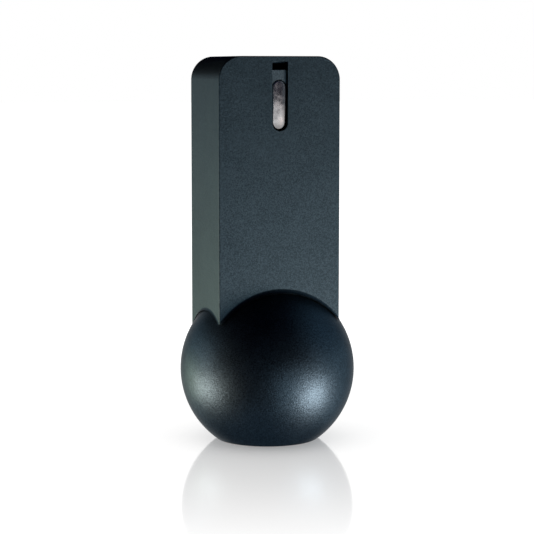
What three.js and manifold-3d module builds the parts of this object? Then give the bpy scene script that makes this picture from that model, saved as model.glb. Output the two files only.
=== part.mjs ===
// Trackball mouse: an upright rectangular handle that stands on a large weighted ball.
// The ball turns in a magnetic cup in the handle's lower end and has a flat foot.
// A slot near the top of the handle's front holds a metal thumb key on a short slide.
// Millimetres. +Z is up, the front face looks along -Y, and the handle is centred on X.
// Places inside the assembly are given from the ball's centre.

import * as THREE from 'three';
import { mergeVertices } from 'three/addons/utils/BufferGeometryUtils.js';
import { ParametricGeometry } from 'three/addons/geometries/ParametricGeometry.js';
import Module from 'manifold-3d';

// Overall sizes
const ballDiameter = 57.15;
const handleWidth = 41.4;
const frontOffset = 11.8;
const rearOffset = 16.3;
const handleRise = 73.325;
const cornerRadius = 7.6;
const edgeBevel = 0.35;

// Clearances
const fitGap = 0.3;
const skirtGap = 0.35;
const cupGap = 0.65;
const overrun = 4;
const weldDistance = 0.0001;

// Handle shell
const sideWall = 2.6;
const frontWall = 2.2;
const topWall = 2.2;
const rearWall = 2.2;
const skirtFillet = 2;
const skirtLip = 0.3;
const skirtInset = 1.2;
const skirtCornerRadius = 0.5;
const skirtBlend = 0.06;

// Rear cover
const coverThickness = 2;
const coverRim = 1.4;
const coverSillDrop = 1.025;
const coverFootRadius = 1;
const coverBossRadius = 2.8;
const coverBossInset = 4.9;
const coverLowScrewRise = 10;
const coverHighScrewDrop = 8;

// Slot and thumb key
const slotWidth = 5.3;
const slotLength = 22.05;
const slotTopDrop = 1.75;
const keySideGap = 0.35;
const keyRevealDrop = 3.3;
const keyCrestRecess = 0.45;
const keyCrownRadius = 110;
const keyCrestRise = 3.5;
const keyFlangeThickness = 1;
const keyFlangeMargin = 0.75;
const keyPressTravel = 0.5;

// Key carriage, which slides up in the slot
const carriageTravel = 2.2;
const carriageWidth = 11;
const carriagePlateThickness = 1.2;
const carriageTopMargin = 0.45;
const carriageKeyRoom = 0.5;
const carriageWebThickness = 1.2;
const carriageBackThickness = 1.2;
const facePlateSideGap = 0.25;
const facePlateRecess = 0.9;
const facePlateTopRoom = 0.5;
const facePlateLegRise = 1.3;
const archGap = 0.25;
const tailWidth = 5.2;

// Guide that the carriage slides in
const guideRailWidth = 2.5;
const guideDepth = 3.8;
const guideLipWidth = 1.2;
const guideLipThickness = 0.9;
const guideTopMargin = 0.5;
const guideBarHeight = 1.5;
const guideBarDepth = 2.1;
const guideEarLength = 3.6;
const guideEarThickness = 1.4;
const guideEarHeight = 5;
const guideBossHeight = 1.3;
const guideBossRadius = 1.6;

// Click switch under the key
const switchWidth = 6;
const switchDepth = 2.9;
const switchRoom = 1.1;
const plungerRadius = 1.2;
const plungerLength = 1.6;
const plungerBoreDepth = 1.7;
const switchBoardWidth = 8;
const switchBoardHeight = 10;
const switchBoardThickness = 1;

// Power slide switch below the guide
const powerSwitchWidth = 8;
const powerKnobWidth = 1.6;
const powerKnobHeight = 1.2;
const powerKnobReach = 1.5;
const powerKnobLength = 3.3;

// Socket cup
const lugLength = 6;
const lugWidth = 6;
const lugThickness = 2;
const lugRearInset = 1.1;
const beadRadius = 1.5;
const beadGap = 0.33;
const beadSideInset = 3.1;
const beadFrontInset = 3.6;
const beadRearInset = 2.6;
const magnetSideRoom = 12.6;
const magnetThickness = 3;
const magnetWeb = 0.9;
const keeperThickness = 0.8;

// Motion sensor, on a line through the ball's centre
const sensorSideInset = 6;
const lensRadius = 2.4;
const lensLift = 1.2;
const lensThickness = 2.2;
const sensorChipWidth = 6;
const sensorChipLengthShare = 0.62;
const sensorChipThickness = 1.5;
const sensorBoardWidth = 9;
const sensorBoardScrewRoom = 3.5;
const sensorBoardThickness = 1;

// Main board
const boardSideRoom = 0.6;
const boardBaseRoom = 1.175;
const boardTopRoom = 1.05;
const boardThickness = 1.2;
const boardBossHeight = 0.7;
const boardBossRadius = 1.9;
const boardScrewInset = 2.3;
const chipThickness = 0.8;
const chipGap = 0.2;
const processorWidth = 7;
const radioWidth = 8;
const processorSpanShares = [0.15, 0.36];
const radioSpanShares = [0.45, 0.72];

// Battery, a short 3 V lithium cell in a tray
const cellSideRoom = 3.7;
const cellRearRoom = 2.3;
const cellButtonShare = 0.385;
const cellButtonHeight = 0.8;
const trayWall = 1.2;
const trayEndWall = 1.3;
const trayBaseRoom = 1.975;
const trayTopRoom = 1.35;
const trayFootMargin = 0.1;
const trayFootWidth = 2.5;
const trayBehindCentre = 1.4;
const contactThickness = 0.4;
const contactWidthShare = 0.58;
const contactDepthShare = 0.39;
const leafRise = 1.5;

// Screws
const coverScrewHeadRadius = 2;
const coverScrewHeadHeight = 1.2;
const coverScrewRadius = 1.1;
const coverScrewGrip = 7;
const smallScrewHeadRadius = 1.7;
const smallScrewHeadHeight = 1;
const smallScrewRadius = 0.8;
const smallScrewBite = 1.1;
const cupScrewGrip = 6;
const driveWidthShare = 0.5;
const driveDepthShare = 0.55;

// Ball: a coated skin over a steel liner, a filler and a round core
const skinThickness = 2.5;
const linerThickness = 2;
const fillerRim = 1.4;
const fillerWall = 10.475;
const retainerDropShare = 0.38;
const padThickness = 1.2;
const padProud = 0.3;
const padRadius = 15;
const padRim = 1.542;
const footPlateThickness = 1.5;

// Facet counts
const ballSides = 56;
const ballRings = 24;
const innerRings = 8;
const linerSides = 28;
const coreSides = 24;
const smallSides = 16;
const screwSides = 12;
const cornerSegments = 8;
const filletSegments = 6;
const skirtSideSteps = 8;
const skirtCornerSteps = 3;
const crownSides = 180;

// Derived places, from the ball's centre
const ballRadius = ballDiameter / 2;
const ballCentreHeight = padProud + Math.sqrt(ballRadius ** 2 - (padRadius + padRim) ** 2);
const topRise = ballRadius + handleRise;
const halfWidth = handleWidth / 2;
const innerHalfWidth = halfWidth - sideWall;
const frontFace = -frontOffset;
const frontInner = frontFace + frontWall;
const rearInner = rearOffset - rearWall;
const coverInner = rearOffset - coverThickness;
const topInner = topRise - topWall;

// Slot, key and carriage, from the top down and from the front back
const slotTop = topRise - slotTopDrop;
const slotBottom = slotTop - slotLength;
const slotEndCentre = slotBottom + slotWidth / 2;
const facePlateTop = slotTop - carriageTravel - facePlateTopRoom;
const facePlateHalf = slotWidth / 2 - facePlateSideGap;
const keyTop = facePlateTop - keyRevealDrop;
const keyRadius = slotWidth / 2 - keySideGap;
const keyUpperCentre = keyTop - keyRadius;
const keyLowerCentre = slotEndCentre;
const keyBottom = keyLowerCentre - keyRadius;
const keyCentre = (keyTop + keyBottom) / 2;
const archRadius = keyRadius + archGap;
const carriageFront = frontInner + fitGap;
const carriagePlateBack = carriageFront + carriagePlateThickness;
const carriageTop = facePlateTop - carriageTopMargin;
const carriageBase = keyBottom - keyFlangeMargin - carriageKeyRoom - carriageWebThickness;
const keyFlangeFront = carriagePlateBack + fitGap;
const keyFlangeBack = keyFlangeFront + keyFlangeThickness;
const plungerFront = keyFlangeBack + fitGap;
const switchFront = keyFlangeBack + switchRoom;
const switchBack = switchFront + switchDepth;
const switchBoardFront = switchBack + fitGap;
const switchBoardBack = switchBoardFront + switchBoardThickness;
const carriageBackFront = switchBoardBack + fitGap;
const carriageBack = carriageBackFront + carriageBackThickness;

// Guide and power switch
const guideInner = carriageWidth / 2 + fitGap;
const guideOuter = guideInner + guideRailWidth;
const carriageWebHalf = guideInner - guideLipWidth - fitGap;
const keyFlangeHalf = carriageWebHalf - fitGap;
const guideBack = carriageFront + guideDepth;
const guideTop = topInner - guideTopMargin;
const guideBase = carriageBase - guideBarHeight - guideBarHeight;
const guideEarFront = frontInner + guideBossHeight + fitGap;
const guideEarBack = guideEarFront + guideEarThickness;
const guideScrewX = guideOuter + fitGap + guideBossRadius;
const powerSwitchFront = guideBack + fitGap;
const powerSwitchBack = carriageBackFront - fitGap;
const powerSwitchTop = carriageBase - fitGap;
const powerKnobBase = powerSwitchTop - fitGap - fitGap - carriageTravel - powerKnobHeight;
const powerSwitchBase = powerKnobBase - fitGap - fitGap;
const tailBase = powerSwitchBase;

// Socket cup, magnet and sensor
const magnetBase = ballRadius + cupGap + magnetWeb + fitGap;
const magnetRadius = innerHalfWidth - magnetSideRoom;
const keeperBase = magnetBase + magnetThickness + fitGap;
const cupTop = keeperBase + keeperThickness;
const lugBase = cupTop + fitGap;
const lugTop = lugBase + lugThickness;
const lugRear = rearInner - lugRearInset;
const cupScrewX = innerHalfWidth - lugLength / 2;
const cupScrewY = lugRear - lugWidth / 2;
const lensBase = ballRadius + lensLift;
const lensTop = lensBase + lensThickness;
const sensorChipBase = lensTop + fitGap + fitGap;
const sensorBoardBase = sensorChipBase + sensorChipThickness + fitGap;
const sensorBoardTop = sensorBoardBase + sensorBoardThickness;
const sensorBoardLength = 2 * (cupScrewY - sensorBoardScrewRoom);
const sensorChipLength = sensorBoardLength * sensorChipLengthShare;
const sensorTilt = Math.asin((innerHalfWidth - sensorSideInset) / sensorBoardTop);

// Rear cover and main board
const coverSill = cupTop - coverSillDrop;
const coverBossX = halfWidth - coverBossInset;
const coverBossEdge = coverBossX - coverBossRadius;
const boardFront = frontInner + boardBossHeight + fitGap;
const boardBack = boardFront + boardThickness;
const boardHalf = coverBossEdge - boardSideRoom;
const boardBase = lugTop + boardBaseRoom;
const boardTop = guideBase - boardTopRoom;

// Battery and its tray
const trayFront = boardBack + fitGap + smallScrewHeadHeight + trayFootMargin;
const trayBase = cupTop + trayBaseRoom;
const trayTop = tailBase - trayTopRoom;
const cellFront = trayFront + trayWall + fitGap;
const cellWidthRoom = coverBossEdge - cellSideRoom - trayWall - fitGap;
const cellDepthRoom = (coverInner - cellRearRoom - cellFront) / 2;
const cellRadius = Math.min(cellWidthRoom, cellDepthRoom);
const cellY = cellFront + cellRadius;
const contactHalf = cellRadius * contactWidthShare;
const contactDepthHalf = cellRadius * contactDepthShare;
const trayInnerRadius = cellRadius + fitGap;
const trayHalfWidth = trayInnerRadius + trayWall;
const trayRear = cellY + trayBehindCentre;
const trayInnerBase = trayBase + trayEndWall;
const trayInnerTop = trayTop - trayEndWall;
const cellBase = trayInnerBase + fitGap + leafRise + fitGap;
const contactTop = trayInnerTop - fitGap;
const contactBase = contactTop - contactThickness;
const cellTop = contactBase - fitGap;

// Ball, from the skin inwards and from the foot up
const skinInner = ballRadius - skinThickness;
const linerOuter = skinInner - fitGap;
const linerInner = linerOuter - linerThickness;
const fillerRadius = linerInner - fitGap;
const coreRadius = fillerRadius - fillerWall;
const coreCavity = coreRadius + fitGap;
const shellFlat = padProud - ballCentreHeight;
const padRecess = padRadius + fitGap;
const padTop = padThickness - ballCentreHeight;
const footPlateBase = padTop + fitGap;
const footPlateTop = footPlateBase + footPlateThickness;
const fillingFloor = footPlateTop + fitGap;
const retainerBase = Math.max(fillingFloor, -Math.sqrt(fillerRadius ** 2 - coreRadius ** 2));
const fillerBase = Math.max(fillingFloor, -Math.sqrt(fillerRadius ** 2 - (coreCavity + fillerRim) ** 2));

const wasm = await Module();
wasm.setup();

// Turns a closed geometry into a solid that can be cut and joined.
function toSolid(geometry) {
  const bare = geometry.clone();
  bare.deleteAttribute('normal');
  bare.deleteAttribute('uv');
  const welded = mergeVertices(bare, weldDistance);
  const corners = welded.index.array;
  const kept = [];
  for (let i = 0; i < corners.length; i += 3) {
    const [a, b, c] = [corners[i], corners[i + 1], corners[i + 2]];
    if (a !== b && b !== c && c !== a) {
      kept.push(a, b, c);
    }
  }
  return new wasm.Manifold(new wasm.Mesh({
    numProp: 3,
    vertProperties: Float32Array.from(welded.attributes.position.array),
    triVerts: Uint32Array.from(kept),
  }));
}

// Turns a cut or joined solid back into a geometry.
function toGeometry(solid) {
  const mesh = solid.getMesh();
  const geometry = new THREE.BufferGeometry();
  geometry.setAttribute('position', new THREE.BufferAttribute(mesh.vertProperties, 3));
  geometry.setIndex(new THREE.BufferAttribute(mesh.triVerts, 1));
  geometry.computeVertexNormals();
  return geometry;
}

// Joins the first list of geometries and cuts the second list out of them.
function carve(joined, cuts = []) {
  let solid = toSolid(joined[0]);
  for (const geometry of joined.slice(1)) {
    solid = solid.add(toSolid(geometry));
  }
  for (const geometry of cuts) {
    solid = solid.subtract(toSolid(geometry));
  }
  return toGeometry(solid);
}

function block(x0, x1, y0, y1, z0, z1) {
  const geometry = new THREE.BoxGeometry(x1 - x0, y1 - y0, z1 - z0);
  geometry.translate((x0 + x1) / 2, (y0 + y1) / 2, (z0 + z1) / 2);
  return geometry;
}

function rodAlongX(radius, x0, x1, y, z, sides) {
  const geometry = new THREE.CylinderGeometry(radius, radius, x1 - x0, sides);
  geometry.rotateZ(-Math.PI / 2);
  geometry.translate((x0 + x1) / 2, y, z);
  return geometry;
}

function rodAlongY(radius, y0, y1, x, z, sides) {
  const geometry = new THREE.CylinderGeometry(radius, radius, y1 - y0, sides);
  geometry.translate(x, (y0 + y1) / 2, z);
  return geometry;
}

function rodAlongZ(radius, z0, z1, x, y, sides) {
  const geometry = new THREE.CylinderGeometry(radius, radius, z1 - z0, sides);
  geometry.rotateX(Math.PI / 2);
  geometry.translate(x, y, (z0 + z1) / 2);
  return geometry;
}

function globe(radius, sides) {
  const geometry = new THREE.SphereGeometry(radius, sides, sides / 2);
  geometry.rotateX(Math.PI / 2);
  return geometry;
}

// Revolves a profile of (radius, height) points about Z.
function revolve(profile, sides) {
  const geometry = new THREE.LatheGeometry(profile, sides);
  geometry.rotateX(Math.PI / 2);
  return geometry;
}

// Extrudes a shape drawn in X and Z between two places on Y.
function extrudeAlongY(shape, front, rear, bevel = 0) {
  const geometry = new THREE.ExtrudeGeometry(shape, {
    depth: rear - front - 2 * bevel,
    bevelEnabled: bevel > 0,
    bevelThickness: bevel,
    bevelSize: bevel,
    bevelOffset: -bevel,
    bevelSegments: 2,
    curveSegments: cornerSegments,
  });
  geometry.rotateX(Math.PI / 2);
  geometry.translate(0, rear - bevel, 0);
  return geometry;
}

// An upright rectangle with its own radius for the top and the bottom corners.
function plateShape(half, bottom, top, topRadius, bottomRadius = 0) {
  const shape = new THREE.Shape();
  shape.moveTo(-half, bottom + bottomRadius);
  if (bottomRadius > 0) {
    shape.absarc(-half + bottomRadius, bottom + bottomRadius, bottomRadius, Math.PI, 1.5 * Math.PI, false);
    shape.absarc(half - bottomRadius, bottom + bottomRadius, bottomRadius, 1.5 * Math.PI, 2 * Math.PI, false);
  } else {
    shape.lineTo(half, bottom);
  }
  shape.absarc(half - topRadius, top - topRadius, topRadius, 0, Math.PI / 2, false);
  shape.absarc(-half + topRadius, top - topRadius, topRadius, Math.PI / 2, Math.PI, false);
  shape.closePath();
  return shape;
}

// An upright shape with a round lower end and a round or square upper end.
function slotShape(radius, lowerCentre, upperCentre, roundTop) {
  const shape = new THREE.Shape();
  shape.moveTo(-radius, upperCentre);
  shape.lineTo(-radius, lowerCentre);
  shape.absarc(0, lowerCentre, radius, Math.PI, 2 * Math.PI, false);
  shape.lineTo(radius, upperCentre);
  if (roundTop) {
    shape.absarc(0, upperCentre, radius, 0, Math.PI, false);
  }
  shape.closePath();
  return shape;
}

// Stations round the handle's plan, each with a point and its outward normal.
function planStations() {
  const stations = [];
  const radius = skirtCornerRadius;
  const corners = [
    [halfWidth - radius, frontFace + radius, -Math.PI / 2],
    [halfWidth - radius, rearOffset - radius, 0],
    [-halfWidth + radius, rearOffset - radius, Math.PI / 2],
    [-halfWidth + radius, frontFace + radius, Math.PI],
  ];
  corners.forEach(([cx, cy, startAngle], index) => {
    for (let step = 0; step <= skirtCornerSteps; step += 1) {
      const angle = startAngle + (step / skirtCornerSteps) * (Math.PI / 2);
      const [nx, ny] = [Math.cos(angle), Math.sin(angle)];
      stations.push({ x: cx + radius * nx, y: cy + radius * ny, nx, ny });
    }
    const [nextX, nextY, nextAngle] = corners[(index + 1) % corners.length];
    const [nx, ny] = [Math.cos(nextAngle), Math.sin(nextAngle)];
    const from = new THREE.Vector2(cx + radius * nx, cy + radius * ny);
    const to = new THREE.Vector2(nextX + radius * nx, nextY + radius * ny);
    for (let step = 1; step < skirtSideSteps; step += 1) {
      const point = from.clone().lerp(to, step / skirtSideSteps);
      stations.push({ x: point.x, y: point.y, nx, ny });
    }
  });
  return stations;
}

// One section of the skirt: a hollow fillet from the wall down to just above the ball.
function skirtSection({ x, y, nx, ny }) {
  const wall = x * nx + y * ny;
  const along = y * nx - x * ny;
  const lipRadius = ballRadius + skirtGap + skirtLip;
  const slice = Math.sqrt(Math.max(lipRadius ** 2 - along ** 2, (skirtInset + skirtFillet) ** 2));
  const filletX = wall - skirtBlend + skirtFillet;
  const filletZ = Math.sqrt(Math.max((slice + skirtFillet) ** 2 - filletX ** 2, skirtLip ** 2));
  const endAngle = Math.PI + Math.atan2(filletZ, filletX);
  const section = [[wall - skirtInset, filletZ]];
  for (let step = 0; step <= filletSegments; step += 1) {
    const angle = Math.PI + (step / filletSegments) * (endAngle - Math.PI);
    section.push([filletX + skirtFillet * Math.cos(angle), filletZ + skirtFillet * Math.sin(angle)]);
  }
  const [lipX, lipZ] = section[section.length - 1];
  const inward = (slice - skirtInset) / slice;
  section.push([lipX * inward, lipZ * inward]);
  section.push([wall - skirtInset, lipZ * inward]);
  return section.map(([out, z]) => new THREE.Vector3(x + (out - wall) * nx, y + (out - wall) * ny, z));
}

// The skirt as one closed band round the handle's lower end.
function skirtBand() {
  const sections = planStations().map(skirtSection);
  const around = sections.length;
  const across = sections[0].length;
  const surface = (u, v, target) => {
    const section = sections[Math.round(v * around) % around];
    target.copy(section[Math.round(u * across) % across]);
  };
  return new ParametricGeometry(surface, across, around);
}

function coverScrewPlaces() {
  const low = coverSill + coverLowScrewRise;
  const high = topRise - coverHighScrewDrop;
  return [[-coverBossX, low], [coverBossX, low], [-coverBossX, high], [coverBossX, high]];
}

function boardScrewPlaces() {
  const x = boardHalf - boardScrewInset;
  const low = boardBase + boardScrewInset;
  const high = boardTop - boardScrewInset;
  return [[-x, low], [x, low], [-x, high], [x, high]];
}

function housingGeometry() {
  const outer = plateShape(halfWidth, 0, topRise, cornerRadius);
  const innerRadius = cornerRadius - sideWall;
  const inner = plateShape(innerHalfWidth, 0, topInner, innerRadius);
  const innerAboveSill = plateShape(innerHalfWidth, coverSill, topInner, innerRadius);
  const rebateHalf = halfWidth - coverRim + fitGap;
  const rebateRadius = cornerRadius - coverRim + fitGap;
  const rebateTop = topRise - coverRim + fitGap;
  const rebate = plateShape(rebateHalf, coverSill, rebateTop, rebateRadius, coverFootRadius);
  const slot = slotShape(slotWidth / 2, slotEndCentre, slotTop, false);
  const hollow = carve([
    extrudeAlongY(outer, frontFace, rearOffset, edgeBevel),
    skirtBand(),
  ], [
    extrudeAlongY(inner, frontInner, rearInner),
    extrudeAlongY(innerAboveSill, frontInner, rearOffset + overrun),
    extrudeAlongY(rebate, coverInner - fitGap, rearOffset + overrun),
  ]);
  const added = [hollow];
  const cuts = [
    globe(ballRadius + skirtGap, ballSides),
    extrudeAlongY(slot, frontFace - overrun, frontInner + fitGap),
  ];
  for (const [x, z] of coverScrewPlaces()) {
    added.push(rodAlongY(coverBossRadius, frontInner - fitGap, coverInner - fitGap, x, z, smallSides));
    const tip = coverInner - coverScrewGrip - fitGap;
    cuts.push(rodAlongY(coverScrewRadius + fitGap, tip, rearOffset, x, z, screwSides));
  }
  for (const [x, z] of boardScrewPlaces()) {
    added.push(rodAlongY(boardBossRadius, frontInner - fitGap, boardFront - fitGap, x, z, smallSides));
    const tip = frontInner - smallScrewBite - fitGap;
    cuts.push(rodAlongY(smallScrewRadius + fitGap, tip, boardFront, x, z, screwSides));
  }
  for (const side of [-1, 1]) {
    const x = side * guideScrewX;
    const bossTop = guideEarFront - fitGap;
    added.push(rodAlongY(guideBossRadius, frontInner - fitGap, bossTop, x, keyCentre, smallSides));
    const tip = frontInner - smallScrewBite - fitGap;
    cuts.push(rodAlongY(smallScrewRadius + fitGap, tip, guideEarFront, x, keyCentre, screwSides));
    const lugInner = innerHalfWidth - lugLength;
    const lugOuter = innerHalfWidth + fitGap;
    const lugEnds = side < 0 ? [-lugOuter, -lugInner] : [lugInner, lugOuter];
    added.push(block(...lugEnds, lugRear - lugWidth, lugRear, lugBase, lugTop));
    const boreX = side * cupScrewX;
    cuts.push(rodAlongZ(coverScrewRadius + fitGap, cupTop, lugTop + fitGap, boreX, cupScrewY, screwSides));
  }
  return carve(added, cuts);
}

function rearCoverGeometry() {
  const outline = plateShape(
    halfWidth - coverRim,
    coverSill + fitGap,
    topRise - coverRim,
    cornerRadius - coverRim,
    coverFootRadius,
  );
  const cuts = [];
  for (const [x, z] of coverScrewPlaces()) {
    const headSeat = rearOffset - coverScrewHeadHeight - fitGap;
    cuts.push(rodAlongY(coverScrewRadius + fitGap, coverInner - overrun, rearOffset, x, z, screwSides));
    cuts.push(rodAlongY(coverScrewHeadRadius + fitGap, headSeat, rearOffset + overrun, x, z, smallSides));
  }
  return carve([extrudeAlongY(outline, coverInner, rearOffset)], cuts);
}

// A screw along +Z with its head's top at zero and a cross drive cut into the head.
function screwGeometry(headRadius, headHeight, radius, length) {
  const driveReach = headRadius * driveWidthShare;
  const driveHalf = driveReach / 4;
  const driveDepth = headHeight * driveDepthShare;
  return carve([
    rodAlongZ(headRadius, -headHeight, 0, 0, 0, screwSides),
    rodAlongZ(radius, -headHeight - length, -headHeight / 2, 0, 0, screwSides),
  ], [
    block(-driveReach, driveReach, -driveHalf, driveHalf, -driveDepth, overrun),
    block(-driveHalf, driveHalf, -driveReach, driveReach, -driveDepth, overrun),
  ]);
}

function cupGeometry() {
  const half = innerHalfWidth - fitGap;
  const pocketHalfWidth = sensorBoardWidth / 2 + fitGap;
  const pocketHalfLength = sensorBoardLength / 2 + fitGap;
  const pocketBase = lensTop + fitGap;
  const boreRadius = lensRadius + fitGap;
  const lensBore = rodAlongZ(boreRadius, ballRadius - overrun, pocketBase + fitGap, 0, 0, smallSides);
  const boardPocket = block(
    -pocketHalfWidth,
    pocketHalfWidth,
    -pocketHalfLength,
    pocketHalfLength,
    pocketBase,
    pocketBase + overrun + overrun,
  );
  lensBore.rotateY(sensorTilt);
  boardPocket.rotateY(sensorTilt);
  const cuts = [
    globe(ballRadius + cupGap, ballSides),
    rodAlongZ(magnetRadius + fitGap, magnetBase - fitGap, cupTop + overrun, 0, 0, coreSides),
    lensBore,
    boardPocket,
  ];
  for (const place of beadPlaces()) {
    const pocket = globe(beadRadius + fitGap, smallSides);
    pocket.translate(place.x, place.y, place.z);
    cuts.push(pocket);
  }
  for (const side of [-1, 1]) {
    const tip = lugTop - cupScrewGrip - fitGap;
    cuts.push(rodAlongZ(coverScrewRadius + fitGap, tip, lugTop, side * cupScrewX, cupScrewY, screwSides));
  }
  const body = block(-half, half, frontInner + fitGap, rearInner - fitGap, 0, cupTop);
  return carve([body], cuts);
}

// The three beads that the ball runs on, each on a line through the ball's centre.
function beadPlaces() {
  const reach = ballRadius + beadGap + beadRadius;
  const side = innerHalfWidth - beadSideInset;
  const front = frontInner + beadFrontInset;
  const plan = [
    [-side, front],
    [side, front],
    [0, rearInner - beadRearInset],
  ];
  return plan.map(([x, y]) => new THREE.Vector3(x, y, Math.sqrt(reach ** 2 - x ** 2 - y ** 2)));
}

function mainBoardGeometry() {
  const cuts = boardScrewPlaces().map(([x, z]) => (
    rodAlongY(smallScrewRadius + fitGap, boardFront - overrun, boardBack + overrun, x, z, screwSides)
  ));
  return carve([block(-boardHalf, boardHalf, boardFront, boardBack, boardBase, boardTop)], cuts);
}

function trayGeometry() {
  const footBack = trayFront + trayWall;
  const footFront = boardBack + fitGap;
  const parts = [block(-trayHalfWidth, trayHalfWidth, trayFront, trayRear, trayBase, trayTop)];
  for (const [z0, z1] of [[boardBase, boardBase + trayFootWidth], [trayTop - trayFootWidth, trayTop]]) {
    for (const x of [-trayFootWidth, trayFootWidth]) {
      parts.push(block(x - trayFootWidth / 2, x + trayFootWidth / 2, footFront, footBack, z0, z1));
    }
  }
  const trough = rodAlongZ(trayInnerRadius, trayInnerBase, trayInnerTop, 0, cellY, coreSides);
  const mouth = block(
    -trayInnerRadius * Math.cos(Math.PI / coreSides),
    trayInnerRadius * Math.cos(Math.PI / coreSides),
    cellY,
    trayRear + overrun,
    trayInnerBase,
    trayInnerTop,
  );
  return carve(parts, [trough, mouth]);
}

function cellGeometry() {
  const canTop = cellTop - cellButtonHeight;
  const buttonRadius = cellRadius * cellButtonShare;
  const profile = [
    new THREE.Vector2(0, cellBase),
    new THREE.Vector2(cellRadius, cellBase),
    new THREE.Vector2(cellRadius, canTop),
    new THREE.Vector2(buttonRadius, canTop),
    new THREE.Vector2(buttonRadius, cellTop),
    new THREE.Vector2(0, cellTop),
  ];
  const geometry = revolve(profile, coreSides);
  geometry.translate(0, cellY, 0);
  return geometry;
}

// A sprung strip bowed towards the cell's base.
function leafGeometry() {
  const bow = leafRise - contactThickness;
  const radius = (contactHalf ** 2 + bow ** 2) / (2 * bow);
  const spread = Math.asin(contactHalf / radius);
  const centre = trayInnerBase + fitGap + bow - radius;
  const shape = new THREE.Shape();
  shape.absarc(0, centre, radius + contactThickness, Math.PI / 2 - spread, Math.PI / 2 + spread, false);
  shape.absarc(0, centre, radius, Math.PI / 2 + spread, Math.PI / 2 - spread, true);
  shape.closePath();
  return extrudeAlongY(shape, cellY - contactDepthHalf, cellY + contactDepthHalf);
}

function guideGeometry() {
  const lipFront = carriagePlateBack + fitGap;
  const barFront = guideBack - guideBarDepth;
  const parts = [
    block(-guideOuter, guideOuter, barFront, guideBack, guideBase, guideBase + guideBarHeight),
  ];
  const cuts = [];
  for (const side of [-1, 1]) {
    const span = (near, far) => (side < 0 ? [-far, -near] : [near, far]);
    const earOuter = guideOuter + guideEarLength;
    const earHalf = guideEarHeight / 2;
    parts.push(block(...span(guideInner, guideOuter), carriageFront, guideBack, guideBase, guideTop));
    parts.push(block(
      ...span(guideInner - guideLipWidth, guideInner + fitGap),
      lipFront,
      lipFront + guideLipThickness,
      guideBase,
      guideTop,
    ));
    parts.push(block(
      ...span(guideOuter - fitGap, earOuter),
      guideEarFront,
      guideEarBack,
      keyCentre - earHalf,
      keyCentre + earHalf,
    ));
    const boreFront = guideEarFront - fitGap;
    const boreBack = guideEarBack + fitGap;
    const x = side * guideScrewX;
    cuts.push(rodAlongY(smallScrewRadius + fitGap, boreFront, boreBack, x, keyCentre, screwSides));
  }
  return carve(parts, cuts);
}

function carriageGeometry() {
  const half = carriageWidth / 2;
  const webHalf = carriageWebHalf;
  const faceFront = frontFace + facePlateRecess;
  const faceBase = keyUpperCentre + facePlateLegRise;
  const tailHalf = tailWidth / 2;
  const knobHalf = powerKnobWidth / 2 + fitGap;
  const lowWebTop = carriageBase + carriageWebThickness;
  const highWebBase = carriageTop - carriageWebThickness;
  const parts = [
    block(-half, half, carriageFront, carriagePlateBack, carriageBase, carriageTop),
    block(-facePlateHalf, facePlateHalf, faceFront, carriagePlateBack, faceBase, facePlateTop),
    block(-webHalf, webHalf, carriageFront, carriageBack, carriageBase, lowWebTop),
    block(-webHalf, webHalf, carriageFront, carriageBack, highWebBase, carriageTop),
    block(-webHalf, webHalf, carriageBackFront, carriageBack, carriageBase, carriageTop),
    block(-tailHalf, tailHalf, carriageBackFront, carriageBack, tailBase, carriageBase + fitGap),
  ];
  const keyHole = slotShape(archRadius, keyLowerCentre, keyUpperCentre, true);
  const knobHole = block(
    -knobHalf,
    knobHalf,
    carriageBackFront - overrun,
    carriageBack + overrun,
    powerKnobBase - fitGap,
    powerKnobBase + powerKnobHeight + fitGap,
  );
  return carve(parts, [extrudeAlongY(keyHole, faceFront - overrun, carriagePlateBack + fitGap), knobHole]);
}

// The key: a metal pill with a gently crowned front and a flange behind the carriage plate.
function keyGeometry() {
  const crest = frontFace + keyCrestRecess;
  const pill = toSolid(extrudeAlongY(
    slotShape(keyRadius, keyLowerCentre, keyUpperCentre, true),
    frontFace,
    keyFlangeBack,
  ));
  const crown = toSolid(rodAlongX(
    keyCrownRadius,
    -slotWidth,
    slotWidth,
    crest + keyCrownRadius,
    keyCentre + keyCrestRise,
    crownSides,
  ));
  const flange = toSolid(block(
    -keyFlangeHalf,
    keyFlangeHalf,
    keyFlangeFront,
    keyFlangeBack,
    keyBottom - keyFlangeMargin,
    keyTop + keyFlangeMargin,
  ));
  return toGeometry(pill.intersect(crown).add(flange));
}

function switchGeometry() {
  const half = switchWidth / 2;
  const boreBack = switchFront + plungerBoreDepth;
  return carve(
    [block(-half, half, switchFront, switchBack, keyCentre - half, keyCentre + half)],
    [rodAlongY(plungerRadius + fitGap, switchFront - fitGap, boreBack, 0, keyCentre, smallSides)],
  );
}

function powerSwitchGeometry() {
  const half = powerSwitchWidth / 2;
  const knobHalf = powerKnobWidth / 2 + fitGap;
  const window = block(
    -knobHalf,
    knobHalf,
    powerSwitchBack - powerKnobReach - fitGap,
    powerSwitchBack + overrun,
    powerKnobBase - fitGap,
    powerKnobBase + powerKnobHeight + carriageTravel + fitGap,
  );
  const body = block(-half, half, powerSwitchFront, powerSwitchBack, powerSwitchBase, powerSwitchTop);
  return carve([body], [window]);
}

// Points on an arc about the ball's centre, in (radius, height), without its last point.
function arcPoints(radius, startAngle, endAngle, steps) {
  const points = [];
  for (let step = 0; step < steps; step += 1) {
    const angle = startAngle + (step / steps) * (endAngle - startAngle);
    points.push(new THREE.Vector2(radius * Math.cos(angle), radius * Math.sin(angle)));
  }
  return points;
}

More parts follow.
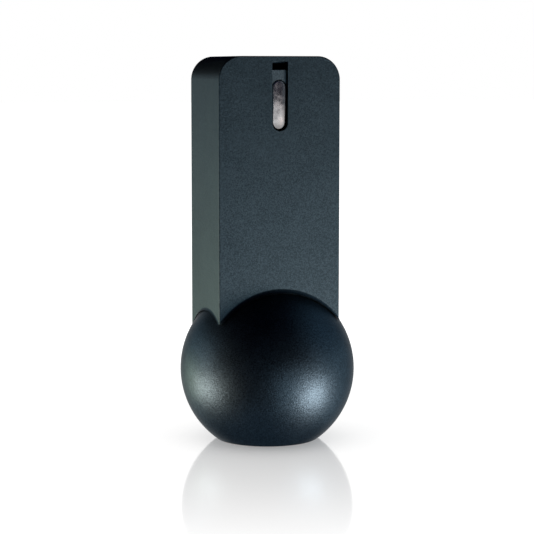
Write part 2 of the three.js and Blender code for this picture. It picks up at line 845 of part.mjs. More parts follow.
function ballShellGeometry() {
  const pole = Math.PI / 2;
  const profile = [
    new THREE.Vector2(padRecess, shellFlat),
    ...arcPoints(ballRadius, Math.asin(shellFlat / ballRadius), pole, ballRings),
    new THREE.Vector2(0, ballRadius),
    new THREE.Vector2(0, skinInner),
    ...arcPoints(skinInner, pole, -Math.acos(padRecess / skinInner), innerRings).slice(1),
    new THREE.Vector2(padRecess, -Math.sqrt(skinInner ** 2 - padRecess ** 2)),
    new THREE.Vector2(padRecess, shellFlat),
  ];
  return revolve(profile, ballSides);
}

function linerGeometry() {
  const pole = Math.PI / 2;
  const outerRim = new THREE.Vector2(padRecess, -Math.sqrt(linerOuter ** 2 - padRecess ** 2));
  const profile = [
    ...arcPoints(linerOuter, -Math.acos(padRecess / linerOuter), pole, innerRings),
    new THREE.Vector2(0, linerOuter),
    new THREE.Vector2(0, linerInner),
    ...arcPoints(linerInner, pole, -Math.acos(padRecess / linerInner), innerRings).slice(1),
    new THREE.Vector2(padRecess, -Math.sqrt(linerInner ** 2 - padRecess ** 2)),
    outerRim,
  ];
  return revolve(profile, linerSides);
}

function fillerGeometry() {
  const pole = Math.PI / 2;
  const profile = [
    new THREE.Vector2(coreCavity, fillerBase),
    ...arcPoints(fillerRadius, Math.asin(fillerBase / fillerRadius), pole, innerRings),
    new THREE.Vector2(0, fillerRadius),
    new THREE.Vector2(0, coreCavity),
    ...arcPoints(coreCavity, pole, 0, coreSides / 4).slice(1),
    new THREE.Vector2(coreCavity, 0),
    new THREE.Vector2(coreCavity, fillerBase),
  ];
  return revolve(profile, linerSides);
}

function retainerGeometry() {
  const topDrop = coreCavity * retainerDropShare;
  const rimAngle = -Math.asin(topDrop / coreCavity);
  const profile = [
    new THREE.Vector2(0, retainerBase),
    new THREE.Vector2(coreRadius, retainerBase),
    new THREE.Vector2(coreRadius, -topDrop),
    ...arcPoints(coreCavity, rimAngle, -Math.PI / 2, coreSides / 4),
    new THREE.Vector2(0, -coreCavity),
  ];
  return revolve(profile, coreSides);
}

function finish(color, roughness, metalness) {
  return new THREE.MeshStandardMaterial({ color, roughness, metalness });
}

const coated = finish(0x2b353c, 0.5, 0.3);
const satinSteel = finish(0xb9bcc0, 0.3, 1);
const darkPlastic = finish(0x1b1d20, 0.6, 0);
const greyPlastic = finish(0x4a4d50, 0.6, 0);
const blackChip = finish(0x101113, 0.45, 0);
const boardGreen = finish(0x1e4a33, 0.55, 0);
const nickel = finish(0xb0aca0, 0.3, 1);
const springBrass = finish(0xb89a58, 0.35, 1);
const zincScrew = finish(0x8d9094, 0.35, 1);
const blackScrew = finish(0x232529, 0.4, 0.8);
const ceramic = finish(0xf1efe8, 0.15, 0);
const clearLens = finish(0xc9d3d6, 0.08, 0);
const steelCore = finish(0x85888c, 0.35, 1);
const resin = finish(0x3a3226, 0.55, 0);
const cellWrap = finish(0x27408a, 0.4, 0.1);
const rubber = finish(0x151617, 0.85, 0);

const mouse = new THREE.Group();
const assembly = new THREE.Group();
assembly.position.z = ballCentreHeight;
mouse.add(assembly);

function place(parent, name, geometry, material) {
  const mesh = new THREE.Mesh(geometry, material);
  mesh.name = name;
  parent.add(mesh);
  return mesh;
}

// Handle shell and rear cover
place(assembly, 'housing', housingGeometry(), coated);
place(assembly, 'rear_cover', rearCoverGeometry(), coated);
coverScrewPlaces().forEach(([x, z], index) => {
  const length = rearOffset - fitGap - coverScrewHeadHeight - coverInner + coverScrewGrip;
  const geometry = screwGeometry(coverScrewHeadRadius, coverScrewHeadHeight, coverScrewRadius, length);
  const screw = place(assembly, `cover_screw_${index + 1}`, geometry, blackScrew);
  screw.rotation.x = -Math.PI / 2;
  screw.position.set(x, rearOffset, z);
});

// Socket cup with its beads, magnet and screws
place(assembly, 'socket_cup', cupGeometry(), darkPlastic);
[-1, 1].forEach((side, index) => {
  const length = cupScrewGrip + fitGap;
  const geometry = screwGeometry(coverScrewHeadRadius, coverScrewHeadHeight, coverScrewRadius, length);
  const screw = place(assembly, `cup_screw_${index + 1}`, geometry, zincScrew);
  screw.position.set(side * cupScrewX, cupScrewY, lugTop + fitGap + coverScrewHeadHeight);
});
beadPlaces().forEach((centre, index) => {
  const bead = place(assembly, `bearing_bead_${index + 1}`, globe(beadRadius, screwSides), ceramic);
  bead.position.copy(centre);
});
place(
  assembly,
  'cup_magnet',
  rodAlongZ(magnetRadius, magnetBase, magnetBase + magnetThickness, 0, 0, coreSides),
  nickel,
);
place(
  assembly,
  'magnet_keeper',
  rodAlongZ(magnetRadius, keeperBase, keeperBase + keeperThickness, 0, 0, coreSides),
  zincScrew,
);

// Motion sensor, tilted so that it looks at the ball's centre
const sensor = new THREE.Group();
sensor.rotation.y = sensorTilt;
assembly.add(sensor);
place(
  sensor,
  'sensor_lens',
  rodAlongZ(lensRadius, lensBase, lensTop, 0, 0, smallSides),
  clearLens,
);
place(
  sensor,
  'sensor_chip',
  block(
    -sensorChipWidth / 2,
    sensorChipWidth / 2,
    -sensorChipLength / 2,
    sensorChipLength / 2,
    sensorChipBase,
    sensorChipBase + sensorChipThickness,
  ),
  blackChip,
);
place(
  sensor,
  'sensor_board',
  block(
    -sensorBoardWidth / 2,
    sensorBoardWidth / 2,
    -sensorBoardLength / 2,
    sensorBoardLength / 2,
    sensorBoardBase,
    sensorBoardTop,
  ),
  boardGreen,
);

// Main board with its chips and screws
place(assembly, 'main_board', mainBoardGeometry(), boardGreen);
function chipGeometry(width, spanShares) {
  const chipFront = boardBack + chipGap;
  const [base, top] = spanShares.map((share) => THREE.MathUtils.lerp(boardBase, boardTop, share));
  return block(-width / 2, width / 2, chipFront, chipFront + chipThickness, base, top);
}
place(assembly, 'processor_chip', chipGeometry(processorWidth, processorSpanShares), blackChip);
place(assembly, 'radio_module', chipGeometry(radioWidth, radioSpanShares), nickel);
boardScrewPlaces().forEach(([x, z], index) => {
  const length = boardThickness + fitGap + boardBossHeight + fitGap + smallScrewBite;
  const geometry = screwGeometry(smallScrewHeadRadius, smallScrewHeadHeight, smallScrewRadius, length);
  const screw = place(assembly, `board_screw_${index + 1}`, geometry, zincScrew);
  screw.rotation.x = -Math.PI / 2;
  screw.position.set(x, boardBack + fitGap + smallScrewHeadHeight, z);
});

// Battery
place(assembly, 'battery_tray', trayGeometry(), darkPlastic);
place(assembly, 'battery_cell', cellGeometry(), cellWrap);
place(assembly, 'battery_leaf', leafGeometry(), springBrass);
place(
  assembly,
  'battery_contact',
  block(
    -contactHalf,
    contactHalf,
    cellY - contactDepthHalf,
    cellY + contactDepthHalf,
    contactBase,
    contactTop,
  ),
  springBrass,
);

// Guide and power switch, fixed behind the slot
place(assembly, 'key_guide', guideGeometry(), greyPlastic);
[-1, 1].forEach((side, index) => {
  const length = guideEarThickness + fitGap + guideBossHeight + fitGap + smallScrewBite;
  const geometry = screwGeometry(smallScrewHeadRadius, smallScrewHeadHeight, smallScrewRadius, length);
  const screw = place(assembly, `guide_screw_${index + 1}`, geometry, zincScrew);
  screw.rotation.x = -Math.PI / 2;
  screw.position.set(side * guideScrewX, guideEarBack + fitGap + smallScrewHeadHeight, keyCentre);
});
place(assembly, 'power_switch_body', powerSwitchGeometry(), nickel);

// Carriage and what rides on it
const carriage = new THREE.Group();
assembly.add(carriage);
place(carriage, 'key_carriage', carriageGeometry(), coated);
place(
  carriage,
  'switch_board',
  block(
    -switchBoardWidth / 2,
    switchBoardWidth / 2,
    switchBoardFront,
    switchBoardBack,
    keyCentre - switchBoardHeight / 2,
    keyCentre + switchBoardHeight / 2,
  ),
  boardGreen,
);
place(carriage, 'click_switch', switchGeometry(), blackChip);
place(
  carriage,
  'switch_plunger',
  rodAlongY(plungerRadius, plungerFront, plungerFront + plungerLength, 0, keyCentre, smallSides),
  greyPlastic,
);
place(
  carriage,
  'power_switch_knob',
  block(
    -powerKnobWidth / 2,
    powerKnobWidth / 2,
    powerSwitchBack - powerKnobReach,
    powerSwitchBack - powerKnobReach + powerKnobLength,
    powerKnobBase,
    powerKnobBase + powerKnobHeight,
  ),
  darkPlastic,
);
place(carriage, 'thumb_key', keyGeometry(), satinSteel);

// Ball
place(assembly, 'ball_shell', ballShellGeometry(), coated);
place(assembly, 'ball_liner', linerGeometry(), nickel);
place(assembly, 'ball_filler', fillerGeometry(), resin);
place(assembly, 'ball_core', globe(coreRadius, coreSides), steelCore);
place(assembly, 'core_retainer', retainerGeometry(), resin);
place(assembly, 'foot_plate', rodAlongZ(padRadius, footPlateBase, footPlateTop, 0, 0, coreSides), zincScrew);
place(assembly, 'foot_pad', rodAlongZ(padRadius, -ballCentreHeight, padTop, 0, 0, ballSides), rubber);

export default mouse;
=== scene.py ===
"""Looks of an upright trackball mouse: a metal handle that stands on a large weighted ball.

Sizes in the classes are millimetres and become metres where a mesh is made. Heights in them count
from the ball's centre, except the foot's, the lamps' and the cards'. The frame's origin is the
middle of the foot, +Z is up, the front face looks along -Y and the handle is centred on X.
"""

from __future__ import annotations

import logging
import math
from abc import ABC, abstractmethod
from collections.abc import Callable, Iterable, Sequence
from dataclasses import dataclass
from enum import Enum

import bmesh
import bpy
from mathutils import Matrix, Vector


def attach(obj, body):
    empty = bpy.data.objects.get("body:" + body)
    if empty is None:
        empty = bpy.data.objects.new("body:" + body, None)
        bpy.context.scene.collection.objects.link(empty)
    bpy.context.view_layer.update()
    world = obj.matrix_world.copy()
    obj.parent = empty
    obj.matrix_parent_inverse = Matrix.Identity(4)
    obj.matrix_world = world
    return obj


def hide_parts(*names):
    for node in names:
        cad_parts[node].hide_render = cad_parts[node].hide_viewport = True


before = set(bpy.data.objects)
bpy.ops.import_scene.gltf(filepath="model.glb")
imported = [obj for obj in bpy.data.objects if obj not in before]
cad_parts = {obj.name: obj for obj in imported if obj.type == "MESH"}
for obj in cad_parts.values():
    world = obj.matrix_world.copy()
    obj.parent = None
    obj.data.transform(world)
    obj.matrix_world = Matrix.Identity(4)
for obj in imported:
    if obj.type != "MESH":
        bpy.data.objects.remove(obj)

log = logging.getLogger("trackball_mouse")

MM = 0.001
QUARTER = math.pi / 2
HALF = math.pi
FULL = 2 * math.pi

Point = tuple[float, float]
Span = tuple[float, float]
Shares = tuple[float, ...]
Corner = tuple[float, float, float]
Colour = tuple[float, float, float]
Outline = list[Point]
Piece = bpy.types.Object
Socket = bpy.types.NodeSocket

SAME_PLACE = 0.0001  # corners this close are one corner
OVERRUN = 4.0  # how far a cutter reaches past what it cuts
BITE = 0.3  # how far a joined block runs into the next
ROD_SIDES = 48
EDGE_STEPS = 4  # faces round a slab's rounded edge
CUT_STEPS = 3  # faces round the softened rim of a cut
BEVEL_STEPS = 3
BEVEL_ANGLE = 35.0  # edges that turn by more degrees are rounded
SHARP_ANGLE = 32.0  # edges that turn by more degrees are shaded sharp
FACE_WEIGHT = 50  # how much large faces count in shading, where 50 is even
MIX_FIRST, MIX_SECOND, MIX_RESULT = 6, 7, 2  # a Mix node's colour sockets


class Join(Enum):
    """How one solid changes another."""

    ADD = "UNION"
    CUT = "DIFFERENCE"


class Slot(Enum):
    """The record's material slot names, which no piece here takes its finish from."""

    SHELL = "anodised"
    COVER = "coated_plastic"
    BALL = "ball_coat"
    KEY = "satin_steel"
    SCREW = "black_screw"
    RUBBER = "rubber"


class Axis(Enum):
    """The directions along which a finish changes."""

    X = "X"
    Z = "Z"


class Cells(Enum):
    """How the hollows between scattered points look."""

    SHARP = "F1"
    SOFT = "SMOOTH_F1"


class Maths(Enum):
    """What a node works out from its numbers."""

    LARGEST = "MAXIMUM"
    PRODUCT = "MULTIPLY"
    PRODUCT_PLUS = "MULTIPLY_ADD"


# Meshes


def merge_corners(shape: bmesh.types.BMesh, reach: float) -> None:
    """Merges corners that lie close together, and drops edges that no face is left on.

    Args:
        shape: The mesh that is being edited.
        reach: Corners closer than this many millimetres become one.
    """
    bmesh.ops.remove_doubles(shape, verts=shape.verts, dist=reach * MM)
    bare = [edge for edge in shape.edges if not edge.link_faces]
    bmesh.ops.delete(shape, geom=bare, context="EDGES")


def drop_slivers(piece: Piece, reach: float) -> None:
    """Clears the slivers that cutting leaves on a piece.

    Args:
        piece: The piece.
        reach: Corners closer than this many millimetres become one.
    """
    shape = bmesh.new()
    shape.from_mesh(piece.data)
    merge_corners(shape, reach)
    shape.to_mesh(piece.data)
    shape.free()


def new_object(name: str, corners: Iterable[Corner], faces: Iterable[Sequence[int]]) -> Piece:
    """Makes a mesh object from corners in millimetres.

    Args:
        name: The piece's name.
        corners: The mesh's corners.
        faces: The corners' numbers round each face.

    Returns:
        The new object, with its faces turned outwards.
    """
    mesh = bpy.data.meshes.new(name)
    places = [(x * MM, y * MM, z * MM) for x, y, z in corners]
    mesh.from_pydata(places, [], [list(face) for face in faces])
    shape = bmesh.new()
    shape.from_mesh(mesh)
    merge_corners(shape, SAME_PLACE)
    bmesh.ops.recalc_face_normals(shape, faces=shape.faces)
    shape.to_mesh(mesh)
    shape.free()
    piece = bpy.data.objects.new(name, mesh)
    bpy.context.scene.collection.objects.link(piece)
    return piece


def loft(name: str, loops: Sequence[Sequence[Corner]], ring: bool = False) -> Piece:
    """Skins a row of closed loops that have the same number of corners.

    Args:
        name: The piece's name.
        loops: The loops, in order.
        ring: True where the last loop joins the first, False to close both ends with a face.

    Returns:
        The new object.
    """
    count = len(loops[0])
    faces: list[Sequence[int]] = []
    for i in range(len(loops) if ring else len(loops) - 1):
        j = (i + 1) % len(loops)
        for k in range(count):
            m = (k + 1) % count
            faces.append((i * count + k, i * count + m, j * count + m, j * count + k))
    if not ring:
        faces.append(range(count))
        faces.append(range((len(loops) - 1) * count, len(loops) * count))
    return new_object(name, [corner for loop in loops for corner in loop], faces)


def revolve(name: str, profile: Outline, sides: int) -> Piece:
    """Turns a profile about Z.

    Args:
        name: The piece's name.
        profile: Points of radius and height, from axis to axis or as a closed ring of its own.
        sides: How many steps there are round the axis.

    Returns:
        The new object.
    """
    corners: list[Corner] = []
    for step in range(sides):
        turn = FULL * step / sides
        cosine, sine = math.cos(turn), math.sin(turn)
        corners += [(radius * cosine, radius * sine, height) for radius, height in profile]
    count = len(profile)
    closed = profile[0][0] > 0
    faces: list[Sequence[int]] = []
    for i in range(sides):
        j = (i + 1) % sides
        for k in range(count if closed else count - 1):
            m = (k + 1) % count
            faces.append((i * count + k, j * count + k, j * count + m, i * count + m))
    return new_object(name, corners, faces)


def both_ways(half: float) -> Span:
    """The span from minus a size to plus it."""
    return (-half, half)


def block(name: str, x: Span, y: Span, z: Span) -> Piece:
    """A plain box between two places on each axis, used to cut or join."""
    loops = [[(x[0], v, z[0]), (x[1], v, z[0]), (x[1], v, z[1]), (x[0], v, z[1])] for v in y]
    return loft(name, loops)


def arc(centre: Point, radius: float, start: float, sweep: float, steps: int) -> Outline:
    """Points along an arc, with both its ends.

    Args:
        centre: The arc's middle.
        radius: Its radius.
        start: The angle where it starts, in radians.
        sweep: The angle that it turns through.
        steps: How many steps it has.

    Returns:
        The points.
    """
    turns = [start + sweep * step / steps for step in range(steps + 1)]
    x, y = centre
    return [(x + radius * math.cos(turn), y + radius * math.sin(turn)) for turn in turns]


def circle(centre: Point, radius: float, sides: int) -> Outline:
    """Points round a circle."""
    return arc(centre, radius, 0.0, FULL, sides)[:-1]


def bend(start: Point, corner: Point, end: Point, steps: int) -> Outline:
    """Points along a smooth bend, without its two ends.

    Args:
        start: Where it starts.
        corner: The corner that it rounds.
        end: Where it ends.
        steps: How many steps it has.

    Returns:
        The points.
    """
    points: Outline = []
    for step in range(1, steps):
        share = step / steps
        first, middle, last = (1 - share) ** 2, 2 * share * (1 - share), share**2
        x, y = (first * a + middle * b + last * c for a, b, c in zip(start, corner, end))
        points.append((x, y))
    return points


def rod(name: str, radius: float, span: Span, at: Point) -> Piece:
    """A round rod that lies along Y, used to cut or join."""
    ring = circle(at, radius, ROD_SIDES)
    return loft(name, [[(x, y, z) for x, z in ring] for y in span])


def edge_steps(radius: float, steps: int) -> list[Point]:
    """Steps round a rounded edge, from its face to its side.

    Args:
        radius: The edge's radius, or 0 for a sharp edge.
        steps: How many faces go round it.

    Returns:
        How far each step is moved in from the side, and how deep it is under the face.
    """
    if not radius:
        return [(0.0, 0.0)]
    turns = [QUARTER * step / steps for step in range(steps + 1)]
    return [(radius * (1 - math.sin(turn)), radius * (1 - math.cos(turn))) for turn in turns]


def slab(
    name: str,
    outline: Callable[[float], Outline],
    front: float,
    rear: float,
    front_edge: float = 0.0,
    rear_edge: float = 0.0,
) -> Piece:
    """Carries an outline from front to rear along Y, with rounded edges.

    Args:
        name: The piece's name.
        outline: Gives the outline moved inwards by a distance.
        front: Where the slab starts.
        rear: Where it ends.
        front_edge: The radius of its front edge.
        rear_edge: The radius of its rear edge.

    Returns:
        The new object.
    """
    places = [(inset, front + depth) for inset, depth in edge_steps(front_edge, EDGE_STEPS)]
    places += [(inset, rear - depth) for inset, depth in edge_steps(rear_edge, EDGE_STEPS)[::-1]]
    return loft(name, [[(x, y, z) for x, z in outline(inset)] for inset, y in places])


def keep_result(piece: Piece) -> None:
    """Gives a piece the mesh that its modifiers make, and clears them.

    Args:
        piece: The piece.
    """
    bpy.context.view_layer.update()
    graph = bpy.context.evaluated_depsgraph_get()
    piece.data = bpy.data.meshes.new_from_object(piece.evaluated_get(graph))
    piece.modifiers.clear()


def combine(piece: Piece, join: Join, others: Iterable[Piece]) -> None:
    """Joins other solids to a piece or cuts them out of it, and removes them.

    Args:
        piece: The solid that changes.
        join: What is done with the others.
        others: The other solids.
    """
    for other in others:
        step = piece.modifiers.new("combine", "BOOLEAN")
        step.operation = join.value
        step.object = other
        step.solver = "MANIFOLD"
        keep_result(piece)
        bpy.data.objects.remove(other, do_unlink=True)


def round_edges(piece: Piece, width: float) -> None:
    """Rounds a piece's sharp edges.

    Args:
        piece: The piece.
        width: The rounding's radius in millimetres.
    """
    step = piece.modifiers.new("rounding", "BEVEL")
    step.width = width * MM
    step.segments = BEVEL_STEPS
    step.limit_method = "ANGLE"
    step.angle_limit = math.radians(BEVEL_ANGLE)
    step.use_clamp_overlap = True
    step.harden_normals = False
    keep_result(piece)


def smooth(piece: Piece) -> None:
    """Shades a piece smoothly, with its flat faces kept flat.

    Args:
        piece: The piece.
    """
    mesh = piece.data
    mesh.polygons.foreach_set("use_smooth", [True] * len(mesh.polygons))
    mesh.set_sharp_from_angle(angle=math.radians(SHARP_ANGLE))
    step = piece.modifiers.new("even_light", "WEIGHTED_NORMAL")
    step.keep_sharp = True
    step.weight = FACE_WEIGHT
    keep_result(piece)


@dataclass(frozen=True)
class Plate:
    """An upright plate's outline in X and Z, with its own radius at the top and the bottom.

    Its bottom edge moves inwards with the others only where moves_bottom is True.
    """

    half: float
    bottom: float
    top: float
    top_radius: float
    bottom_radius: float = 0.0
    moves_bottom: bool = False
    corner_steps: int = 40

    def outline(self, inset: float = 0.0) -> Outline:
        """The outline moved inwards.

        Args:
            inset: How far it moves.

        Returns:
            The outline's points.
        """
        half, top = self.half - inset, self.top - inset
        bottom = self.bottom + (inset if self.moves_bottom else 0)
        low = self.bottom_radius - inset if self.bottom_radius else 0
        high = self.top_radius - inset
        corners = [
            (-half + low, bottom + low, low, HALF),
            (half - low, bottom + low, low, 3 * QUARTER),
            (half - high, top - high, high, 0.0),
            (-half + high, top - high, high, QUARTER),
        ]
        points: Outline = []
        for x, z, radius, start in corners:
            if radius > 0:
                points += arc((x, z), radius, start, QUARTER, self.corner_steps)
            else:
                points.append((x, z))
        return points


@dataclass(frozen=True)
class Pill:
    """An upright slot or pill outline with a round lower end."""

    radius: float
    low: float
    high: float
    round_top: bool = True
    end_steps: int = 36
    side_steps: int = 1

    def outline(self, inset: float = 0.0) -> Outline:
        """The outline moved inwards.

        Args:
            inset: How far it moves, or less than 0 to move outwards.

        Returns:
            The outline's points.
        """
        radius = self.radius - inset
        points = arc((0.0, self.low), radius, HALF, HALF, self.end_steps)
        if not self.round_top:
            return points + [(radius, self.high - inset), (-radius, self.high - inset)]
        rise = self.high - self.low
        side = [self.low + rise * step / self.side_steps for step in range(1, self.side_steps)]
        points += [(radius, z) for z in side]
        points += arc((0.0, self.high), radius, 0.0, HALF, self.end_steps)
        return points + [(-radius, z) for z in side[::-1]]


# Finishes


@dataclass(frozen=True)
class Noise:
    """One layer of soft noise.

    Its size is that of its patches in millimetres, detail is how many finer layers it has, rough
    is how strong those are, and stretch scales the coordinates on each axis.
    """

    size: float
    detail: float = 2.0
    rough: float = 0.5
    stretch: Corner | None = None


class Nodes:
    """A node tree, with the calls that add to it."""

    def __init__(self, tree: bpy.types.NodeTree) -> None:
        """Takes a tree and clears it."""
        self.tree = tree
        self.tree.nodes.clear()

    def add(self, kind: str, **settings: object) -> bpy.types.Node:
        """Adds a node.

        Args:
            kind: Which node it is.
            **settings: The node's own properties.

        Returns:
            The node.
        """
        node = self.tree.nodes.new(kind)
        for key, value in settings.items():
            setattr(node, key, value)
        return node

    def join(self, source: Socket, target: Socket) -> None:
        """Links two sockets."""
        self.tree.links.new(source, target)

    def feed(self, target: Socket, value: Socket | float | Colour) -> None:
        """Gives a socket its value.

        Args:
            target: The socket.
            value: What it gets: another socket's output, a number or a colour.
        """
        if isinstance(value, Socket):
            self.join(value, target)
        elif isinstance(value, tuple):
            target.default_value = (*value, 1)
        else:
            target.default_value = value

    def maths(self, operation: Maths, *values: Socket | float) -> Socket:
        """Works out one number from others.

        Args:
            operation: What is worked out.
            *values: The numbers that it is worked out from.

        Returns:
            The result.
        """
        node = self.add("ShaderNodeMath", operation=operation.value)
        for socket, value in zip(node.inputs, values):
            self.feed(socket, value)
        return node.outputs[0]

    def sum_of(self, values: Sequence[Socket], shares: Shares) -> Socket:
        """Adds values, each times its own share.

        Args:
            values: The values.
            shares: Their shares.

        Returns:
            The sum.
        """
        total: Socket | float = 0.0
        for value, share in zip(values, shares):
            total = self.maths(Maths.PRODUCT_PLUS, value, share, total)
        return total

    def ranged(self, value: Socket, result: Span, span: Span = (0.0, 1.0)) -> Socket:
        """Maps a value from one span to another, and keeps it inside.

        Args:
            value: The value.
            result: What it becomes at the start and the end of its span.
            span: Where the value starts and ends.

        Returns:
            The mapped value.
        """
        node = self.add("ShaderNodeMapRange", clamp=True)
        self.join(value, node.inputs["Value"])
        for side, number in (("From", span), ("To", result)):
            node.inputs[f"{side} Min"].default_value = number[0]
            node.inputs[f"{side} Max"].default_value = number[1]
        return node.outputs["Result"]

    def white_share(self, result: Span) -> Socket:
        """A strength that depends on what kind of ray asks for it.

        Args:
            result: The strength for light on the object, and the strength for the camera, for
                reflections and through glass.

        Returns:
            The strength.
        """
        path = self.add("ShaderNodeLightPath")
        seen = path.outputs["Is Camera Ray"]
        for kind in ("Is Glossy Ray", "Is Transmission Ray"):
            seen = self.maths(Maths.LARGEST, seen, path.outputs[kind])
        return self.ranged(seen, result)


class NodeSheet(Nodes):
    """One material's nodes, started with a Principled shader and an output."""

    def __init__(self, name: str) -> None:
        """Makes the material, its shader and its output.

        Args:
            name: The material's name.
        """
        self.material = bpy.data.materials.new(name)
        self.material.use_nodes = True
        super().__init__(self.material.node_tree)
        self.shader = self.add("ShaderNodeBsdfPrincipled")
        self.output = self.add("ShaderNodeOutputMaterial")
        self.show(self.shader)
        self.place = self.add("ShaderNodeTexCoord").outputs["Object"]

    def show(self, shader: bpy.types.Node) -> None:
        """Makes a shader the one that the surface shows."""
        self.join(shader.outputs[0], self.output.inputs["Surface"])

    def shade(self, **values: object) -> None:
        """Sets the shader's own sockets, with _ for a space in a socket's name."""
        for key, value in values.items():
            self.shader.inputs[key.replace("_", " ")].default_value = value

    def stretched(self, scale: Corner) -> Socket:
        """The object's coordinates, scaled by their own factor on each axis.

        Args:
            scale: The factors.

        Returns:
            The coordinates.
        """
        node = self.add("ShaderNodeMapping")
        node.inputs["Scale"].default_value = scale
        self.join(self.place, node.inputs["Vector"])
        return node.outputs["Vector"]

    def along(self, axis: Axis) -> Socket:
        """The object's coordinate along one axis, in metres.

        Args:
            axis: The axis.

        Returns:
            The coordinate.
        """
        node = self.add("ShaderNodeSeparateXYZ")
        self.join(self.place, node.inputs[0])
        return node.outputs[axis.value]

    def noise(self, layer: Noise) -> Socket:
        """Adds one layer of noise.

        Args:
            layer: The layer.

        Returns:
            The noise, from 0 to 1.
        """
        place = self.stretched(layer.stretch) if layer.stretch else self.place
        node = self.add("ShaderNodeTexNoise", noise_dimensions="3D")
        node.inputs["Scale"].default_value = 1 / (layer.size * MM)
        node.inputs["Detail"].default_value = layer.detail
        node.inputs["Roughness"].default_value = layer.rough
        self.join(place, node.inputs["Vector"])
        return node.outputs["Fac"]

    def cells(self, size: float, look: Cells = Cells.SHARP) -> Socket:
        """Distances to scattered points.

        Args:
            size: The points' spacing in millimetres.
            look: How the hollows between them look.

        Returns:
            The distance to the nearest point, where 1 is the spacing.
        """
        node = self.add("ShaderNodeTexVoronoi", feature=look.value)
        node.inputs["Scale"].default_value = 1 / (size * MM)
        self.join(self.place, node.inputs["Vector"])
        return node.outputs["Distance"]

    def blend(self, factor: Socket, first: Colour | Socket, second: Colour | Socket) -> Socket:
        """Goes from one colour to another.

        Args:
            factor: How far it has gone, from 0 to 1.
            first: The colour at 0.
            second: The colour at 1.

        Returns:
            The colour.
        """
        node = self.add("ShaderNodeMix", data_type="RGBA")
        self.join(factor, node.inputs["Factor"])
        self.feed(node.inputs[MIX_FIRST], first)
        self.feed(node.inputs[MIX_SECOND], second)
        return node.outputs[MIX_RESULT]

    def tones(self, tone: Socket, span: Span, colour: Colour, factors: Span) -> Socket:
        """Takes a colour from its darkest factor to its lightest, as a value goes over a span."""
        share = self.ranged(tone, (0.0, 1.0), span)
        return self.blend(share, scaled(colour, factors[0]), scaled(colour, factors[1]))

    def bump(self, height: Socket, depth: float) -> None:
        """Raises the surface.

        Args:
            height: The height, from 0 to 1.
            depth: What 1 stands for, in millimetres.
        """
        node = self.add("ShaderNodeBump")
        node.inputs["Distance"].default_value = depth * MM
        node.inputs["Strength"].default_value = 1.0
        self.join(height, node.inputs["Height"])
        self.join(node.outputs["Normal"], self.shader.inputs["Normal"])

    def colour(self, value: Socket) -> None:
        """Sets the surface's colour."""
        self.join(value, self.shader.inputs["Base Color"])

    def roughness(self, value: Socket, span: Span, result: Span) -> None:
        """Sets the surface's roughness, which follows a value from one span to another."""
        self.join(self.ranged(value, result, span), self.shader.inputs["Roughness"])


def scaled(colour: Colour, factor: float) -> Colour:
    """A colour made lighter or darker."""
    return (colour[0] * factor, colour[1] * factor, colour[2] * factor)


def around(middle: float, spread: Span) -> Span:
    """The span that lies round a middle value."""
    return (middle + spread[0], middle + spread[1])


WHOLE_NOISE: Span = (0.0, 1.0)
MIDDLE_NOISE: Span = (0.3, 0.7)  # where most of a noise lies


@dataclass(frozen=True)
class Finish(ABC):
    """What every finish has: a name and a base colour."""

    name: str
    colour: Colour

    def material(self) -> bpy.types.Material:
        """The finish as a material, made once.

        Returns:
            The material.
        """
        full_name = f"{self.name}_finish"
        found = bpy.data.materials.get(full_name)
        if found:
            return found
        sheet = NodeSheet(full_name)
        self.draw(sheet)
        return sheet.material

    @abstractmethod
    def draw(self, sheet: NodeSheet) -> None:
        """Adds the finish's own nodes to a material."""

    def dress(self, *pieces: Piece) -> None:
        """Puts the finish on pieces, in place of what they had.

        Args:
            *pieces: The pieces.
        """
        for piece in pieces:
            piece.data.materials.clear()
            piece.data.materials.append(self.material())


@dataclass(frozen=True)
class BlastedCoat(Finish):
    """Dark bead-blasted metal with a satin coat: fine grain, soft mottling, handling marks."""

    metallic: float = 1.0
    roughness: float = 0.42
    edge_tint: float = 0.5
    grain: float = 0.34
    grain_detail: float = 1.0
    grain_depth: float = 0.045
    speck_share: float = 1.7
    pit_share: float = 1.3
    mottling: Noise = Noise(14, 3, 0.55)
    marks: Noise = Noise(5, 4, 0.65, (1, 1, 0.35))
    tones: Span = (0.71, 1.34)
    tone_shares: Shares = (0.62, 0.26, 0.12)
    tone_span: Span = (0.37, 0.63)
    rough_shares: Shares = (0.05, 0.07, 0.05)
    rough_span: Span = (0.04, 0.13)
    rough_spread: Span = (-0.05, 0.06)
    height_shares: Shares = (0.7, 0.5, 0.3)

    def draw(self, sheet: NodeSheet) -> None:
        """Adds the grain, the mottling and the marks.

        Args:
            sheet: The material's nodes.
        """
        sheet.shade(Metallic=self.metallic, Specular_Tint=(*(self.edge_tint,) * 3, 1))
        fine = sheet.noise(Noise(self.grain, self.grain_detail))
        speck = sheet.noise(Noise(self.grain * self.speck_share, self.grain_detail))
        pits = sheet.cells(self.grain * self.pit_share)
        broad = sheet.noise(self.mottling)
        marks = sheet.noise(self.marks)
        tone = sheet.sum_of((fine, speck, broad), self.tone_shares)
        sheet.colour(sheet.tones(tone, self.tone_span, self.colour, self.tones))
        rough = sheet.sum_of((fine, marks, broad), self.rough_shares)
        sheet.roughness(rough, self.rough_span, around(self.roughness, self.rough_spread))
        sheet.bump(sheet.sum_of((fine, pits, speck), self.height_shares), self.grain_depth)


